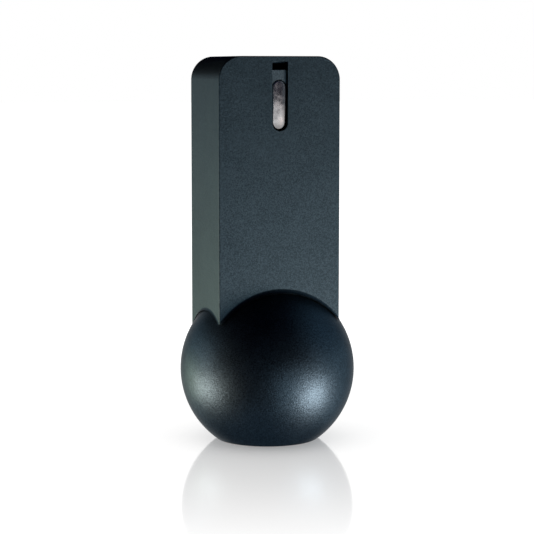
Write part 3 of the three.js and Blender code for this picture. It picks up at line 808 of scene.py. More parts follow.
@dataclass(frozen=True)
class RubbedSteel(Finish):
    """Bare steel, rubbed along its length, with light scratches, thumb marks and painted shade.

    The painted shade darkens the key towards its foot and its right side. Its two spans say
    where it fades, in metres along Z and X.
    """

    roughness: float = 0.21
    anisotropy: float = 0.25
    rubbing: Noise = Noise(0.22, 3, 0.6, (1, 1, 0.06))
    scratches: Noise = Noise(0.4, 4, 0.7, (1, 1, 0.12))
    marks: Noise = Noise(2.6)
    tones: Span = (0.52, 1.0)
    tone_shares: Shares = (0.2, 0.8)
    tone_span: Span = (0.36, 0.56)
    # painted shade: how dark the colour goes at the key's foot and right side
    painted_shade_factor: float = 0.3
    painted_shade_foot: Span = (0.1022, 0.1066)
    painted_shade_side: Span = (0.0005, 0.0019)
    rough_shares: Shares = (0.4, 0.6)
    rough_spread: Span = (-0.06, 0.08)
    height_shares: Shares = (0.6, 0.4)
    relief: float = 0.002

    def draw(self, sheet: NodeSheet) -> None:
        """Adds the rubbing lines, the scratches, the marks and the painted shade.

        Args:
            sheet: The material's nodes.
        """
        sheet.shade(Metallic=1.0, Anisotropic=self.anisotropy)
        lines = sheet.noise(self.rubbing)
        scratches = sheet.noise(self.scratches)
        marks = sheet.noise(self.marks)
        tone = sheet.sum_of((lines, marks), self.tone_shares)
        clean = sheet.tones(tone, self.tone_span, self.colour, self.tones)
        # painted shade: the colour darkens towards the key's foot and its right side
        foot = sheet.ranged(sheet.along(Axis.Z), (1.0, 0.0), self.painted_shade_foot)
        side = sheet.ranged(sheet.along(Axis.X), (0.0, 1.0), self.painted_shade_side)
        painted_shade = sheet.maths(Maths.LARGEST, foot, side)
        sheet.colour(sheet.blend(painted_shade, clean, scaled(self.colour, self.painted_shade_factor)))
        rough = sheet.sum_of((lines, marks), self.rough_shares)
        sheet.roughness(rough, MIDDLE_NOISE, around(self.roughness, self.rough_spread))
        sheet.bump(sheet.sum_of((lines, scratches), self.height_shares), self.relief)


@dataclass(frozen=True)
class PlatedMetal(Finish):
    """Rolled or plated metal with faint grain lines and uneven plating."""

    roughness: float = 0.32
    lines: Noise = Noise(0.25, 3, 0.6, (1, 0.1, 1))
    clouds: Noise = Noise(3, 3, 0.55)
    tones: Span = (0.78, 1.0)
    tone_shares: Shares = (0.4, 0.6)
    rough_spread: Span = (-0.06, 0.1)
    relief: float = 0.005

    def draw(self, sheet: NodeSheet) -> None:
        """Adds the grain lines and the plating's clouds.

        Args:
            sheet: The material's nodes.
        """
        sheet.shade(Metallic=1.0)
        lines = sheet.noise(self.lines)
        clouds = sheet.noise(self.clouds)
        tone = sheet.sum_of((lines, clouds), self.tone_shares)
        sheet.colour(sheet.tones(tone, MIDDLE_NOISE, self.colour, self.tones))
        sheet.roughness(clouds, MIDDLE_NOISE, around(self.roughness, self.rough_spread))
        sheet.bump(lines, self.relief)


@dataclass(frozen=True)
class MouldedPlastic(Finish):
    """Moulded plastic with a spark-eroded grain and slight flow marks."""

    roughness: float = 0.55
    grain: Noise = Noise(0.35)
    flow: Noise = Noise(9, 3, 0.6, (1, 1, 0.4))
    tones: Span = (0.82, 1.15)
    rough_spread: Span = (-0.08, 0.08)
    relief: float = 0.012

    def draw(self, sheet: NodeSheet) -> None:
        """Adds the grain and the flow marks.

        Args:
            sheet: The material's nodes.
        """
        grain = sheet.noise(self.grain)
        flow = sheet.noise(self.flow)
        sheet.colour(sheet.tones(flow, MIDDLE_NOISE, self.colour, self.tones))
        sheet.roughness(grain, MIDDLE_NOISE, around(self.roughness, self.rough_spread))
        sheet.bump(grain, self.relief)


@dataclass(frozen=True)
class MouldedRubber(Finish):
    """Matt rubber with a pebbled surface and dust in its hollows."""

    pebble: float = 0.6
    dust: Noise = Noise(4, 4, 0.6)
    dust_span: Span = (0.35, 0.75)
    tones: Span = (1.0, 2.4)
    rough: Span = (0.72, 0.9)
    relief: float = 0.05

    def draw(self, sheet: NodeSheet) -> None:
        """Adds the pebbles and the dust.

        Args:
            sheet: The material's nodes.
        """
        pebbles = sheet.cells(self.pebble, Cells.SOFT)
        dust = sheet.noise(self.dust)
        sheet.colour(sheet.tones(dust, self.dust_span, self.colour, self.tones))
        sheet.roughness(dust, MIDDLE_NOISE, self.rough)
        sheet.bump(pebbles, self.relief)


@dataclass(frozen=True)
class BoardLaminate(Finish):
    """Solder mask over copper tracks, with the glass weave just showing."""

    track_scale: float = 700.0
    track_gap: float = 0.055
    track_blur: float = 0.1
    track_light: float = 1.7
    weave: Noise = Noise(0.5, 1, 0.4)
    weave_share: float = 0.3
    weave_dark: float = 0.7
    rough: Span = (0.3, 0.42)
    height_shares: Shares = (0.7, 0.3)
    relief: float = 0.03

    def draw(self, sheet: NodeSheet) -> None:
        """Adds the tracks and the weave.

        Args:
            sheet: The material's nodes.
        """
        turned = sheet.add("ShaderNodeMapping")
        turned.inputs["Rotation"].default_value = (QUARTER, 0, 0)
        sheet.join(sheet.place, turned.inputs["Vector"])
        bricks = sheet.add(
            "ShaderNodeTexBrick", offset=0.37, offset_frequency=3, squash=1.8, squash_frequency=2
        )
        sheet.join(turned.outputs["Vector"], bricks.inputs["Vector"])
        bricks.inputs["Scale"].default_value = self.track_scale
        bricks.inputs["Mortar Size"].default_value = self.track_gap
        bricks.inputs["Mortar Smooth"].default_value = self.track_blur
        tracks = bricks.outputs["Fac"]
        weave = sheet.noise(self.weave)
        mask = sheet.blend(tracks, self.colour, scaled(self.colour, self.track_light))
        woven = sheet.ranged(weave, (0.0, self.weave_share), MIDDLE_NOISE)
        sheet.colour(sheet.blend(woven, mask, scaled(self.colour, self.weave_dark)))
        sheet.roughness(weave, MIDDLE_NOISE, self.rough)
        sheet.bump(sheet.sum_of((tracks, weave), self.height_shares), self.relief)


@dataclass(frozen=True)
class CloudedResin(Finish):
    """A cast or moulded stuff whose one layer of noise gives its tones, its gloss and its skin.

    It is pitted instead where the pits have a size, and clear where it lets light through.
    """

    clouds: Noise
    rough: Span
    tones: Span
    relief: float
    tone_span: Span = WHOLE_NOISE
    pit: float = 0.0
    clearness: float = 0.0
    bending: float = 1.5

    def draw(self, sheet: NodeSheet) -> None:
        """Adds the clouds and the pits.

        Args:
            sheet: The material's nodes.
        """
        sheet.shade(Transmission_Weight=self.clearness, IOR=self.bending)
        clouds = sheet.noise(self.clouds)
        sheet.colour(sheet.tones(clouds, self.tone_span, self.colour, self.tones))
        sheet.roughness(clouds, MIDDLE_NOISE, self.rough)
        sheet.bump(sheet.cells(self.pit) if self.pit else clouds, self.relief)


@dataclass(frozen=True)
class ShrinkFilm(Finish):
    """Glossy printed film, shrunk tight round a cell, with a plain pale band near one end.

    The band's two heights and the softness of its edges are metres.
    """

    band: Colour = (0.55, 0.57, 0.6)
    band_low: float = 0.084
    band_high: float = 0.0875
    band_edge: float = 0.0002
    wrinkles: Noise = Noise(1.8, 3, 0.6, (1, 1, 0.3))
    tones: Span = (0.85, 1.1)
    rough: Span = (0.16, 0.28)
    relief: float = 0.02

    def draw(self, sheet: NodeSheet) -> None:
        """Adds the band and the wrinkles.

        Args:
            sheet: The material's nodes.
        """
        height = sheet.along(Axis.Z)
        above = sheet.ranged(height, (0.0, 1.0), (self.band_low, self.band_low + self.band_edge))
        below = sheet.ranged(height, (1.0, 0.0), (self.band_high, self.band_high + self.band_edge))
        inside = sheet.maths(Maths.PRODUCT, above, below)
        wrinkles = sheet.noise(self.wrinkles)
        film = sheet.tones(wrinkles, WHOLE_NOISE, self.colour, self.tones)
        sheet.colour(sheet.blend(inside, film, self.band))
        sheet.roughness(wrinkles, MIDDLE_NOISE, self.rough)
        sheet.bump(wrinkles, self.relief)


SHELL_COAT = BlastedCoat("shell_coat", (0.027, 0.0495, 0.067))
CARRIAGE_COAT = BlastedCoat("carriage_coat", (0.048, 0.082, 0.108), roughness=0.5)
BALL_COAT = BlastedCoat("ball_coat", (0.024, 0.0445, 0.064), roughness=0.4, tones=(0.58, 1.52))
COVER_COAT = BlastedCoat(
    "cover_coat", (0.031, 0.043, 0.053), metallic=0.8, roughness=0.46, grain=0.32
)
KEY_STEEL = RubbedSteel("key_steel", (0.78, 0.79, 0.81))
SCREW_BLACK = PlatedMetal("screw_black", (0.05, 0.052, 0.057), roughness=0.38)
ZINC = PlatedMetal("zinc_plate", (0.36, 0.37, 0.39), roughness=0.36)
NICKEL = PlatedMetal("nickel_plate", (0.48, 0.46, 0.41), roughness=0.28)
BRASS = PlatedMetal("spring_brass", (0.55, 0.38, 0.15), roughness=0.3)
CORE_STEEL = PlatedMetal(
    "core_steel", (0.33, 0.34, 0.36), roughness=0.34, lines=Noise(0.6, 3, 0.6, (1, 0.1, 1))
)
BLACK_PLASTIC = MouldedPlastic("black_plastic", (0.014, 0.015, 0.017))
GREY_PLASTIC = MouldedPlastic("grey_plastic", (0.07, 0.075, 0.08), roughness=0.5)
FOOT_RUBBER = MouldedRubber("foot_rubber", (0.009, 0.009, 0.010))
BOARD = BoardLaminate("board_mask", (0.012, 0.068, 0.033))
CHIP = CloudedResin(
    "chip_resin",
    (0.008, 0.008, 0.009),
    clouds=Noise(0.12, 2, 0.6),
    rough=(0.42, 0.58),
    tones=(0.8, 1.5),
    relief=0.01,
)
FILLER = CloudedResin(
    "cast_filler",
    (0.05, 0.035, 0.02),
    clouds=Noise(6, 4, 0.6),
    rough=(0.4, 0.62),
    tones=(0.7, 1.4),
    relief=0.04,
    tone_span=MIDDLE_NOISE,
    pit=1.1,
)
BEAD = CloudedResin(
    "bead_ceramic",
    (0.86, 0.85, 0.81),
    clouds=Noise(1.2, 3, 0.6),
    rough=(0.08, 0.18),
    tones=(0.92, 1.0),
    relief=0.002,
)
LENS = CloudedResin(
    "lens_plastic",
    (0.82, 0.87, 0.89),
    clouds=Noise(1.5),
    rough=(0.03, 0.09),
    tones=(0.95, 1.0),
    relief=0.004,
    clearness=0.9,
    bending=1.49,
)
CELL_FILM = ShrinkFilm("cell_film", (0.02, 0.05, 0.25))


# The object's own parts


@dataclass(frozen=True)
class Layout:
    """The sizes that several sub-assemblies share, with heights from the ball's centre."""

    ball_radius: float = 28.574
    centre_height: float = 23.6
    half: float = 20.7
    front: float = -11.8
    rear: float = 16.3
    top: float = 101.9
    corner: float = 7.6
    side_wall: float = 2.6
    wall: float = 2.2
    gap: float = 0.3
    sill: float = 33.5
    cover_rim: float = 1.4
    cover_thickness: float = 2.0
    cover_foot_radius: float = 1.0
    slot_half: float = 2.65
    slot_low: float = 80.75
    slot_top: float = 100.15
    pill_high: float = 91.85
    screw_x: float = 15.8
    screw_low: float = 43.5
    screw_high: float = 93.9

    @property
    def front_inner(self) -> float:
        """The inner side of the front wall."""
        return self.front + self.wall

    @property
    def cover_inner(self) -> float:
        """The inner side of the rear cover."""
        return self.rear - self.cover_thickness

    def screw_places(self) -> list[Point]:
        """Where the rear cover's four screws are, in X and Z."""
        heights = (self.screw_low, self.screw_high)
        return [(side * self.screw_x, z) for z in heights for side in (-1, 1)]


LAYOUT = Layout()


def raise_to_foot(piece: Piece) -> None:
    """Moves a mesh made from the ball's centre up to the frame's own origin."""
    piece.data.transform(Matrix.Translation((0, 0, LAYOUT.centre_height * MM)))


class SubAssembly(ABC):
    """What every sub-assembly can do: build its pieces and dress them."""

    @abstractmethod
    def build(self) -> list[Piece]:
        """Makes the meshes, each in place of the CAD node that it stands for."""

    @abstractmethod
    def dress(self, pieces: Sequence[Piece]) -> None:
        """Finishes the pieces that build made, and ties them to their bodies."""


@dataclass(frozen=True)
class Skirt:
    """The hollow fillet that leads from the handle's walls down to the ball."""

    fillet: float = 2.0
    gap: float = 0.35
    lip: float = 0.05
    inset: float = 0.45
    blend: float = 0.06
    corner: float = 0.5
    side_steps: int = 56
    corner_steps: int = 10
    fillet_steps: int = 26

    def stations(self) -> list[tuple[float, float, float, float]]:
        """Where the skirt is drawn, all round the handle's plan.

        Returns:
            Points in X and Y, each with the X and Y of its outward direction.
        """
        reach, inset = LAYOUT.half - self.corner, self.corner
        corners = [
            (reach, LAYOUT.front + inset, -QUARTER),
            (reach, LAYOUT.rear - inset, 0.0),
            (-reach, LAYOUT.rear - inset, QUARTER),
            (-reach, LAYOUT.front + inset, HALF),
        ]
        found = []
        for number, (cx, cy, start) in enumerate(corners):
            for nx, ny in arc((0.0, 0.0), 1.0, start, QUARTER, self.corner_steps):
                found.append((cx + self.corner * nx, cy + self.corner * ny, nx, ny))
            x0, y0, nx, ny = found[-1]
            next_x, next_y, _ = corners[(number + 1) % len(corners)]
            x1, y1 = next_x + self.corner * nx, next_y + self.corner * ny
            for step in range(1, self.side_steps):
                share = step / self.side_steps
                found.append((x0 + (x1 - x0) * share, y0 + (y1 - y0) * share, nx, ny))
        return found

    def section(self, x: float, y: float, nx: float, ny: float) -> list[Corner]:
        """One section of the skirt.

        Args:
            x: The station's place in X.
            y: Its place in Y.
            nx: Its outward direction's X.
            ny: Its outward direction's Y.

        Returns:
            The section's corners.
        """
        wall = x * nx + y * ny
        along = y * nx - x * ny
        lip_radius = LAYOUT.ball_radius + self.gap + self.lip
        slice_radius = math.sqrt(lip_radius**2 - along**2)
        out = wall - self.blend + self.fillet
        height = math.sqrt((slice_radius + self.fillet) ** 2 - out**2)
        sweep = math.atan2(height, out)
        points = [(wall - self.inset, height)]
        points += arc((out, height), self.fillet, HALF, sweep, self.fillet_steps)
        lip_out, lip_height = points[-1]
        inward = (slice_radius - self.inset) / slice_radius
        points.append((lip_out * inward, lip_height * inward))
        points.append((wall - self.inset, lip_height * inward))
        return [(x + (u - wall) * nx, y + (u - wall) * ny, v) for u, v in points]

    def build(self) -> Piece:
        """Makes the skirt as one closed band."""
        return loft("skirt", [self.section(*station) for station in self.stations()], ring=True)


@dataclass(frozen=True)
class HandleShell(SubAssembly):
    """The handle's metal shell, from its rounded top to the skirt over the ball."""

    edge: float = 0.35
    slot_edge: float = 0.12
    slot_overrun: float = 1.0
    hollow_low: float = -1.0
    boss_radius: float = 2.8
    boss_bore: float = 1.4
    bore_depth: float = 7.3
    room_rings: int = 120
    room_sides: int = 240
    sliver: float = 0.008
    skirt: Skirt = Skirt()

    def build(self) -> list[Piece]:
        """Makes the shell in place of the CAD housing.

        Returns:
            The shell.
        """
        outer = Plate(LAYOUT.half, 0.0, LAYOUT.top, LAYOUT.corner)
        shell = slab(
            "handle_shell", outer.outline, LAYOUT.front, LAYOUT.rear, self.edge, self.edge
        )
        combine(shell, Join.ADD, [self.skirt.build()])
        combine(shell, Join.CUT, [*self.rear_cutters(), self.ball_room(), self.slot_cutter()])
        for at in LAYOUT.screw_places():
            span = (LAYOUT.front_inner - LAYOUT.gap, LAYOUT.cover_inner - LAYOUT.gap)
            combine(shell, Join.ADD, [rod("boss", self.boss_radius, span, at)])
            bored = (LAYOUT.cover_inner - self.bore_depth, LAYOUT.rear)
            combine(shell, Join.CUT, [rod("bore", self.boss_bore, bored, at)])
        drop_slivers(shell, self.sliver)
        raise_to_foot(shell)
        smooth(shell)
        return [shell]

    def rear_cutters(self) -> list[Piece]:
        """The handle's hollow, its opening to the rear and the rebate for the cover.

        Returns:
            The three cutters.
        """
        half, top = LAYOUT.half - LAYOUT.side_wall, LAYOUT.top - LAYOUT.wall
        radius = LAYOUT.corner - LAYOUT.side_wall
        hollow = Plate(half, self.hollow_low, top, radius)
        opening = Plate(half, LAYOUT.sill, top, radius)
        rim = LAYOUT.cover_rim - LAYOUT.gap
        rebate = Plate(
            LAYOUT.half - rim,
            LAYOUT.sill,
            LAYOUT.top - rim,
            LAYOUT.corner - rim,
            LAYOUT.cover_foot_radius,
        )
        inner, past, seat = LAYOUT.front_inner, LAYOUT.rear + OVERRUN, LAYOUT.cover_inner
        return [
            slab("hollow", hollow.outline, inner, LAYOUT.rear - LAYOUT.wall),
            slab("rear_opening", opening.outline, inner, past),
            slab("rebate", rebate.outline, seat - LAYOUT.gap, past),
        ]

    def ball_room(self) -> Piece:
        """The round room for the ball.

        Returns:
            The cutter.
        """
        radius = LAYOUT.ball_radius + self.skirt.gap
        sphere = arc((0.0, 0.0), radius, -QUARTER, HALF, self.room_rings)[1:-1]
        return revolve("ball_room", [(0.0, -radius), *sphere, (0.0, radius)], self.room_sides)

    def slot_cutter(self) -> Piece:
        """The slot for the key, with a softened front edge.

        Returns:
            The cutter.
        """
        form = Pill(LAYOUT.slot_half, LAYOUT.slot_low, LAYOUT.slot_top, round_top=False)
        places = [(-self.slot_edge, LAYOUT.front - OVERRUN)]
        for inset, depth in edge_steps(self.slot_edge, CUT_STEPS):
            places.append((-inset, LAYOUT.front + depth))
        places.append((0.0, LAYOUT.front_inner + self.slot_overrun))
        return loft("slot", [[(x, y, z) for x, z in form.outline(inset)] for inset, y in places])

    def dress(self, pieces: Sequence[Piece]) -> None:
        """Coats the shell and ties it to the handle.

        Args:
            pieces: The shell.
        """
        (shell,) = pieces
        SHELL_COAT.dress(shell)
        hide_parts("housing")
        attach(shell, "handle")


@dataclass(frozen=True)
class CoverScrew:
    """A pan-head screw with a cross drive, its head just below the cover's face."""

    head_radius: float = 2.0
    head_height: float = 1.2
    head_edge: float = 0.1
    head_sink: float = 0.05
    dome_drop: float = 0.32
    dome_fullness: float = 0.9
    dome_steps: int = 10
    shank_radius: float = 1.1
    shank_length: float = 7.5
    point: float = 0.5
    drive_reach: float = 1.05
    drive_half: float = 0.24
    drive_depth: float = 0.7
    drive_overrun: float = 1.0
    rim_edge: float = 0.15
    sides: int = 48
    hole_sides: int = 64

    def profile(self) -> Outline:
        """The screw's section, from the top of its head to its point.

        Returns:
            Points of radius and height.
        """
        points: Outline = [(0.0, 0.0)]
        for step in range(1, self.dome_steps + 1):
            turn = QUARTER * step / self.dome_steps
            drop = self.dome_drop * (1 - math.cos(turn))
            points.append((self.head_radius * math.sin(turn) ** self.dome_fullness, -drop))
        seat, end = -self.head_height, -self.head_height - self.shank_length
        return points + [
            (self.head_radius, seat + self.head_edge),
            (self.head_radius - self.head_edge, seat),
            (self.shank_radius, seat),
            (self.shank_radius, end),
            (0.0, end - self.point),
        ]

    def build(self, name: str, at: Point) -> Piece:
        """Makes one screw.

        Args:
            name: The piece's name.
            at: Its place in X and Z.

        Returns:
            The screw.
        """
        piece = revolve(name, self.profile(), self.sides)
        deep = (-self.drive_depth, self.drive_overrun)
        long, thin = both_ways(self.drive_reach), both_ways(self.drive_half)
        for x, y in ((long, thin), (thin, long)):
            combine(piece, Join.CUT, [block("drive", x, y, deep)])
        piece.data.transform(Matrix.Rotation(-QUARTER, 4, "X"))
        place = (at[0] * MM, (LAYOUT.rear - self.head_sink) * MM, at[1] * MM)
        piece.data.transform(Matrix.Translation(place))
        raise_to_foot(piece)
        smooth(piece)
        return piece

    def hole(self, at: Point) -> Piece:
        """The stepped hole for one screw, with a softened rim.

        Args:
            at: Its place in X and Z.

        Returns:
            The cutter.
        """
        seat = LAYOUT.rear - self.head_height - LAYOUT.gap
        wide, narrow = self.head_radius + LAYOUT.gap, self.shank_radius + LAYOUT.gap
        places = [(narrow, LAYOUT.cover_inner - OVERRUN), (narrow, seat), (wide, seat)]
        for inset, depth in edge_steps(self.rim_edge, CUT_STEPS)[::-1]:
            places.append((wide + inset, LAYOUT.rear - depth))
        places.append((wide + self.rim_edge, LAYOUT.rear + OVERRUN))
        rings = [(circle(at, radius, self.hole_sides), y) for radius, y in places]
        return loft("screw_hole", [[(x, y, z) for x, z in ring] for ring, y in rings])


@dataclass(frozen=True)
class RearCover(SubAssembly):
    """The flush rear cover and the four screws that hold it."""

    edge: float = 0.25
    screw: CoverScrew = CoverScrew()

    def build(self) -> list[Piece]:
        """Makes the cover and its screws.

        Returns:
            The cover, then the screws.
        """
        form = Plate(
            LAYOUT.half - LAYOUT.cover_rim,
            LAYOUT.sill + LAYOUT.gap,
            LAYOUT.top - LAYOUT.cover_rim,
            LAYOUT.corner - LAYOUT.cover_rim,
            LAYOUT.cover_foot_radius,
            moves_bottom=True,
        )
        inner, outer = LAYOUT.cover_inner, LAYOUT.rear
        cover = slab("rear_cover_panel", form.outline, inner, outer, rear_edge=self.edge)
        places = LAYOUT.screw_places()
        combine(cover, Join.CUT, [self.screw.hole(at) for at in places])
        raise_to_foot(cover)
        smooth(cover)
        screws = []
        for number, at in enumerate(places, 1):
            screws.append(self.screw.build(f"cover_screw_head_{number}", at))
        return [cover, *screws]

    def dress(self, pieces: Sequence[Piece]) -> None:
        """Finishes the cover and the screws, and ties them to the handle.

        Args:
            pieces: The cover, then the screws.
        """
        cover, *screws = pieces
        COVER_COAT.dress(cover)
        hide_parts("rear_cover")
        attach(cover, "handle")
        SCREW_BLACK.dress(*screws)
        for number, screw in enumerate(screws, 1):
            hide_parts(f"cover_screw_{number}")
            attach(screw, "handle")


@dataclass(frozen=True)
class KeyCarriage(SubAssembly):
    """The sliding carriage, whose front plate shows in the slot above the key."""

    face_half: float = 2.4
    face_front: float = -10.9
    face_base: float = 93.15
    face_top: float = 97.45
    plate_half: float = 5.5
    plate_front: float = -9.3
    plate_back: float = -8.1
    base: float = 76.0
    top: float = 97.0
    web_half: float = 4.3
    web: float = 1.2
    back: float = 0.0
    tail_half: float = 2.6
    tail_base: float = 71.1
    arch_radius: float = 2.55
    knob_half: float = 1.1
    knob_low: float = 71.4
    knob_high: float = 73.2
    edge: float = 0.1

    def build(self) -> list[Piece]:
        """Makes the carriage in place of the CAD one.

        Returns:
            The carriage.
        """
        plate, tall = (self.plate_front, self.plate_back), (self.base, self.top)
        web, through = both_ways(self.web_half), (self.plate_front, self.back)
        behind = (self.back - self.web, self.back)
        face = (self.face_front, self.plate_back)
        piece = block("carriage_frame", both_ways(self.plate_half), plate, tall)
        added = [
            block("face", both_ways(self.face_half), face, (self.face_base, self.face_top)),
            block("low_web", web, through, (self.base, self.base + self.web)),
            block("high_web", web, through, (self.top - self.web, self.top)),
            block("back_web", web, behind, tall),
            block("tail", both_ways(self.tail_half), behind, (self.tail_base, self.base + BITE)),
        ]
        combine(piece, Join.ADD, added)
        arch = Pill(self.arch_radius, LAYOUT.slot_low, LAYOUT.pill_high)
        past = (behind[0] - OVERRUN, behind[1] + OVERRUN)
        knob = (self.knob_low, self.knob_high)
        cutters = [
            slab("arch", arch.outline, self.face_front - OVERRUN, self.plate_back + BITE),
            block("knob_hole", both_ways(self.knob_half), past, knob),
        ]
        combine(piece, Join.CUT, cutters)
        round_edges(piece, self.edge)
        raise_to_foot(piece)
        smooth(piece)
        return [piece]

    def dress(self, pieces: Sequence[Piece]) -> None:
        """Coats the carriage and ties it to its own body.

        Args:
            pieces: The carriage.
        """
        (piece,) = pieces
        CARRIAGE_COAT.dress(piece)
        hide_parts("key_carriage")
        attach(piece, "carriage")


@dataclass(frozen=True)
class ThumbKey(SubAssembly):
    """The metal key: a crowned pill with a softened rim, on a flange behind the carriage's plate.

    The pill's front is skinned over outlines moved inwards by face_insets.
    """

    radius: float = 2.3
    crest: float = -11.35
    crest_height: float = 89.8
    crown_radius: float = 110.0
    cross_radius: float = 11.0
    face_insets: tuple[float, ...] = (2.299, 2.2, 2.0, 1.8, 1.6, 1.4, 1.2, 1.0, 0.8, 0.6, 0.45)
    rim: float = 0.44
    rim_steps: int = 8
    end_steps: int = 48
    side_steps: int = 40
    flange_half: float = 4.0
    flange_front: float = -7.8
    flange_back: float = -6.8
    flange_low: float = 77.7
    flange_high: float = 94.9
    flange_cover: float = 0.2
    sliver: float = 0.004

    def crown(self, x: float, z: float) -> float:
        """How far forward the front is, crowned both ways.

        Args:
            x: A place in X.
            z: Its height.

        Returns:
            The place in Y.
        """
        drop = z - self.crest_height
        tall = self.crown_radius - math.sqrt(self.crown_radius**2 - drop**2)
        return self.crest + tall + self.cross_radius - math.sqrt(self.cross_radius**2 - x**2)

    def build(self) -> list[Piece]:
        """Makes the key in place of the CAD one.

        Returns:
            The key.
        """
        form = Pill(
            self.radius,
            LAYOUT.slot_low,
            LAYOUT.pill_high,
            end_steps=self.end_steps,
            side_steps=self.side_steps,
        )
        steps = [(inset, 0.0) for inset in self.face_insets] + edge_steps(self.rim, self.rim_steps)
        loops = []
        for inset, depth in steps:
            loops.append([(x, self.crown(x, z) + depth, z) for x, z in form.outline(inset)])
        inside = self.flange_back - self.flange_cover
        loops.append([(x, inside, z) for x, z in form.outline()])
        key = loft("thumb_key_pill", loops)
        thick, tall = (self.flange_front, self.flange_back), (self.flange_low, self.flange_high)
        combine(key, Join.ADD, [block("flange", both_ways(self.flange_half), thick, tall)])
        drop_slivers(key, self.sliver)
        raise_to_foot(key)
        smooth(key)
        return [key]

    def dress(self, pieces: Sequence[Piece]) -> None:
        """Finishes the key and ties it to its own body.

        Args:
            pieces: The key.
        """
        (key,) = pieces
        KEY_STEEL.dress(key)
        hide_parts("thumb_key")
        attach(key, "key")


@dataclass(frozen=True)
class RollingBall(SubAssembly):
    """The large ball's coated skin and the rubber foot let into its flat underside."""

    skin: float = 2.5
    flat: float = 0.3
    flat_edge: float = 0.5
    flat_edge_share: float = 0.55
    flat_edge_steps: int = 6
    recess: float = 15.3
    recess_edge: float = 0.12
    sides: int = 288
    rings: int = 150
    inner_rings: int = 40
    pad_radius: float = 15.0
    pad_thickness: float = 1.2
    pad_edge: float = 0.25
    pad_sides: int = 160
    pad_groove: tuple[Point, ...] = ((11.6, 0.0), (11.8, 0.18), (12.4, 0.18), (12.6, 0.0))

    def skin_profile(self) -> Outline:
        """The skin's section, from the recess round the outside and back inside.

        Returns:
            Points of radius and height.
        """
        radius, inner = LAYOUT.ball_radius, LAYOUT.ball_radius - self.skin
        floor = self.flat - LAYOUT.centre_height
        foot = math.sqrt(radius**2 - floor**2)
        start = math.asin((floor + self.flat_edge * self.flat_edge_share) / radius)
        flat_end = (foot - self.flat_edge, floor)
        outside = arc((0.0, 0.0), radius, start, QUARTER - start, self.rings)[:-1]
        end = -math.acos(self.recess / inner)
        inside = arc((0.0, 0.0), inner, QUARTER, end - QUARTER, self.inner_rings)[1:-1]
        return [
            (self.recess + self.recess_edge, floor),
            flat_end,
            *bend(flat_end, (foot, floor), outside[0], self.flat_edge_steps),
            *outside,
            (0.0, radius),
            (0.0, inner),
            *inside,
            (self.recess, -math.sqrt(inner**2 - self.recess**2)),
            (self.recess, floor + self.recess_edge),
        ]

    def pad_profile(self) -> Outline:
        """The foot's section, from the middle of its underside to the middle of its top.

        Returns:
            Points of radius and height.
        """
        radius, top = self.pad_radius, self.pad_thickness
        edge = edge_steps(self.pad_edge, EDGE_STEPS)
        lower = [(radius - inset, depth) for inset, depth in edge]
        upper = [(radius - inset, top - depth) for inset, depth in edge[::-1]]
        return [(0.0, 0.0), *self.pad_groove, *lower, *upper, (0.0, top)]

    def build(self) -> list[Piece]:
        """Makes the skin and the foot.

        Returns:
            The skin, then the foot.
        """
        skin = revolve("ball_skin", self.skin_profile(), self.sides)
        raise_to_foot(skin)
        pad = revolve("foot_disc", self.pad_profile(), self.pad_sides)
        for piece in (skin, pad):
            smooth(piece)
        return [skin, pad]

    def dress(self, pieces: Sequence[Piece]) -> None:
        """Finishes the ball and its foot, and ties them to the ball's body.

        Args:
            pieces: The skin, then the foot.
        """
        skin, pad = pieces
        BALL_COAT.dress(skin)
        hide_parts("ball_shell")
        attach(skin, "ball")
        FOOT_RUBBER.dress(pad)
        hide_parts("foot_pad")
        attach(pad, "ball")


def numbered(kind: str, count: int) -> tuple[str, ...]:
    """The names of CAD nodes of one kind, numbered from 1."""
    return tuple(f"{kind}_{number}" for number in range(1, count + 1))


@dataclass(frozen=True)
class InnerWorks:
    """The CAD pieces inside the handle and the ball, which keep their shapes and get finishes."""

    cup: tuple[str, ...] = ("socket_cup", "battery_tray", "power_switch_knob")
    screws: tuple[str, ...] = (
        *numbered("cup_screw", 2),
        *numbered("board_screw", 4),
        *numbered("guide_screw", 2),
    )
    plates: tuple[str, ...] = ("magnet_keeper", "foot_plate")
    beads: tuple[str, ...] = numbered("bearing_bead", 3)
    nickel: tuple[str, ...] = ("cup_magnet", "radio_module", "power_switch_body", "ball_liner")
    boards: tuple[str, ...] = ("sensor_board", "main_board", "switch_board")
    chips: tuple[str, ...] = ("sensor_chip", "processor_chip", "click_switch")
    brass: tuple[str, ...] = ("battery_leaf", "battery_contact")
    grey: tuple[str, ...] = ("key_guide", "switch_plunger")
    resin: tuple[str, ...] = ("ball_filler", "core_retainer")
    lens: tuple[str, ...] = ("sensor_lens",)
    cell: tuple[str, ...] = ("battery_cell",)
    core: tuple[str, ...] = ("ball_core",)

    def dress(self) -> list[str]:
        """Finishes every inner piece.

        Returns:
            The names of the pieces that were finished.
        """
        pairs = [
            (self.cup, BLACK_PLASTIC),
            (self.screws + self.plates, ZINC),
            (self.beads, BEAD),
            (self.nickel, NICKEL),
            (self.boards, BOARD),
            (self.chips, CHIP),
            (self.brass, BRASS),
            (self.grey, GREY_PLASTIC),
            (self.resin, FILLER),
            (self.lens, LENS),
            (self.cell, CELL_FILM),
            (self.core, CORE_STEEL),
        ]
        for names, finish in pairs:
            finish.dress(*(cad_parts[name] for name in names))
        return [name for names, _ in pairs for name in names]


# The studio


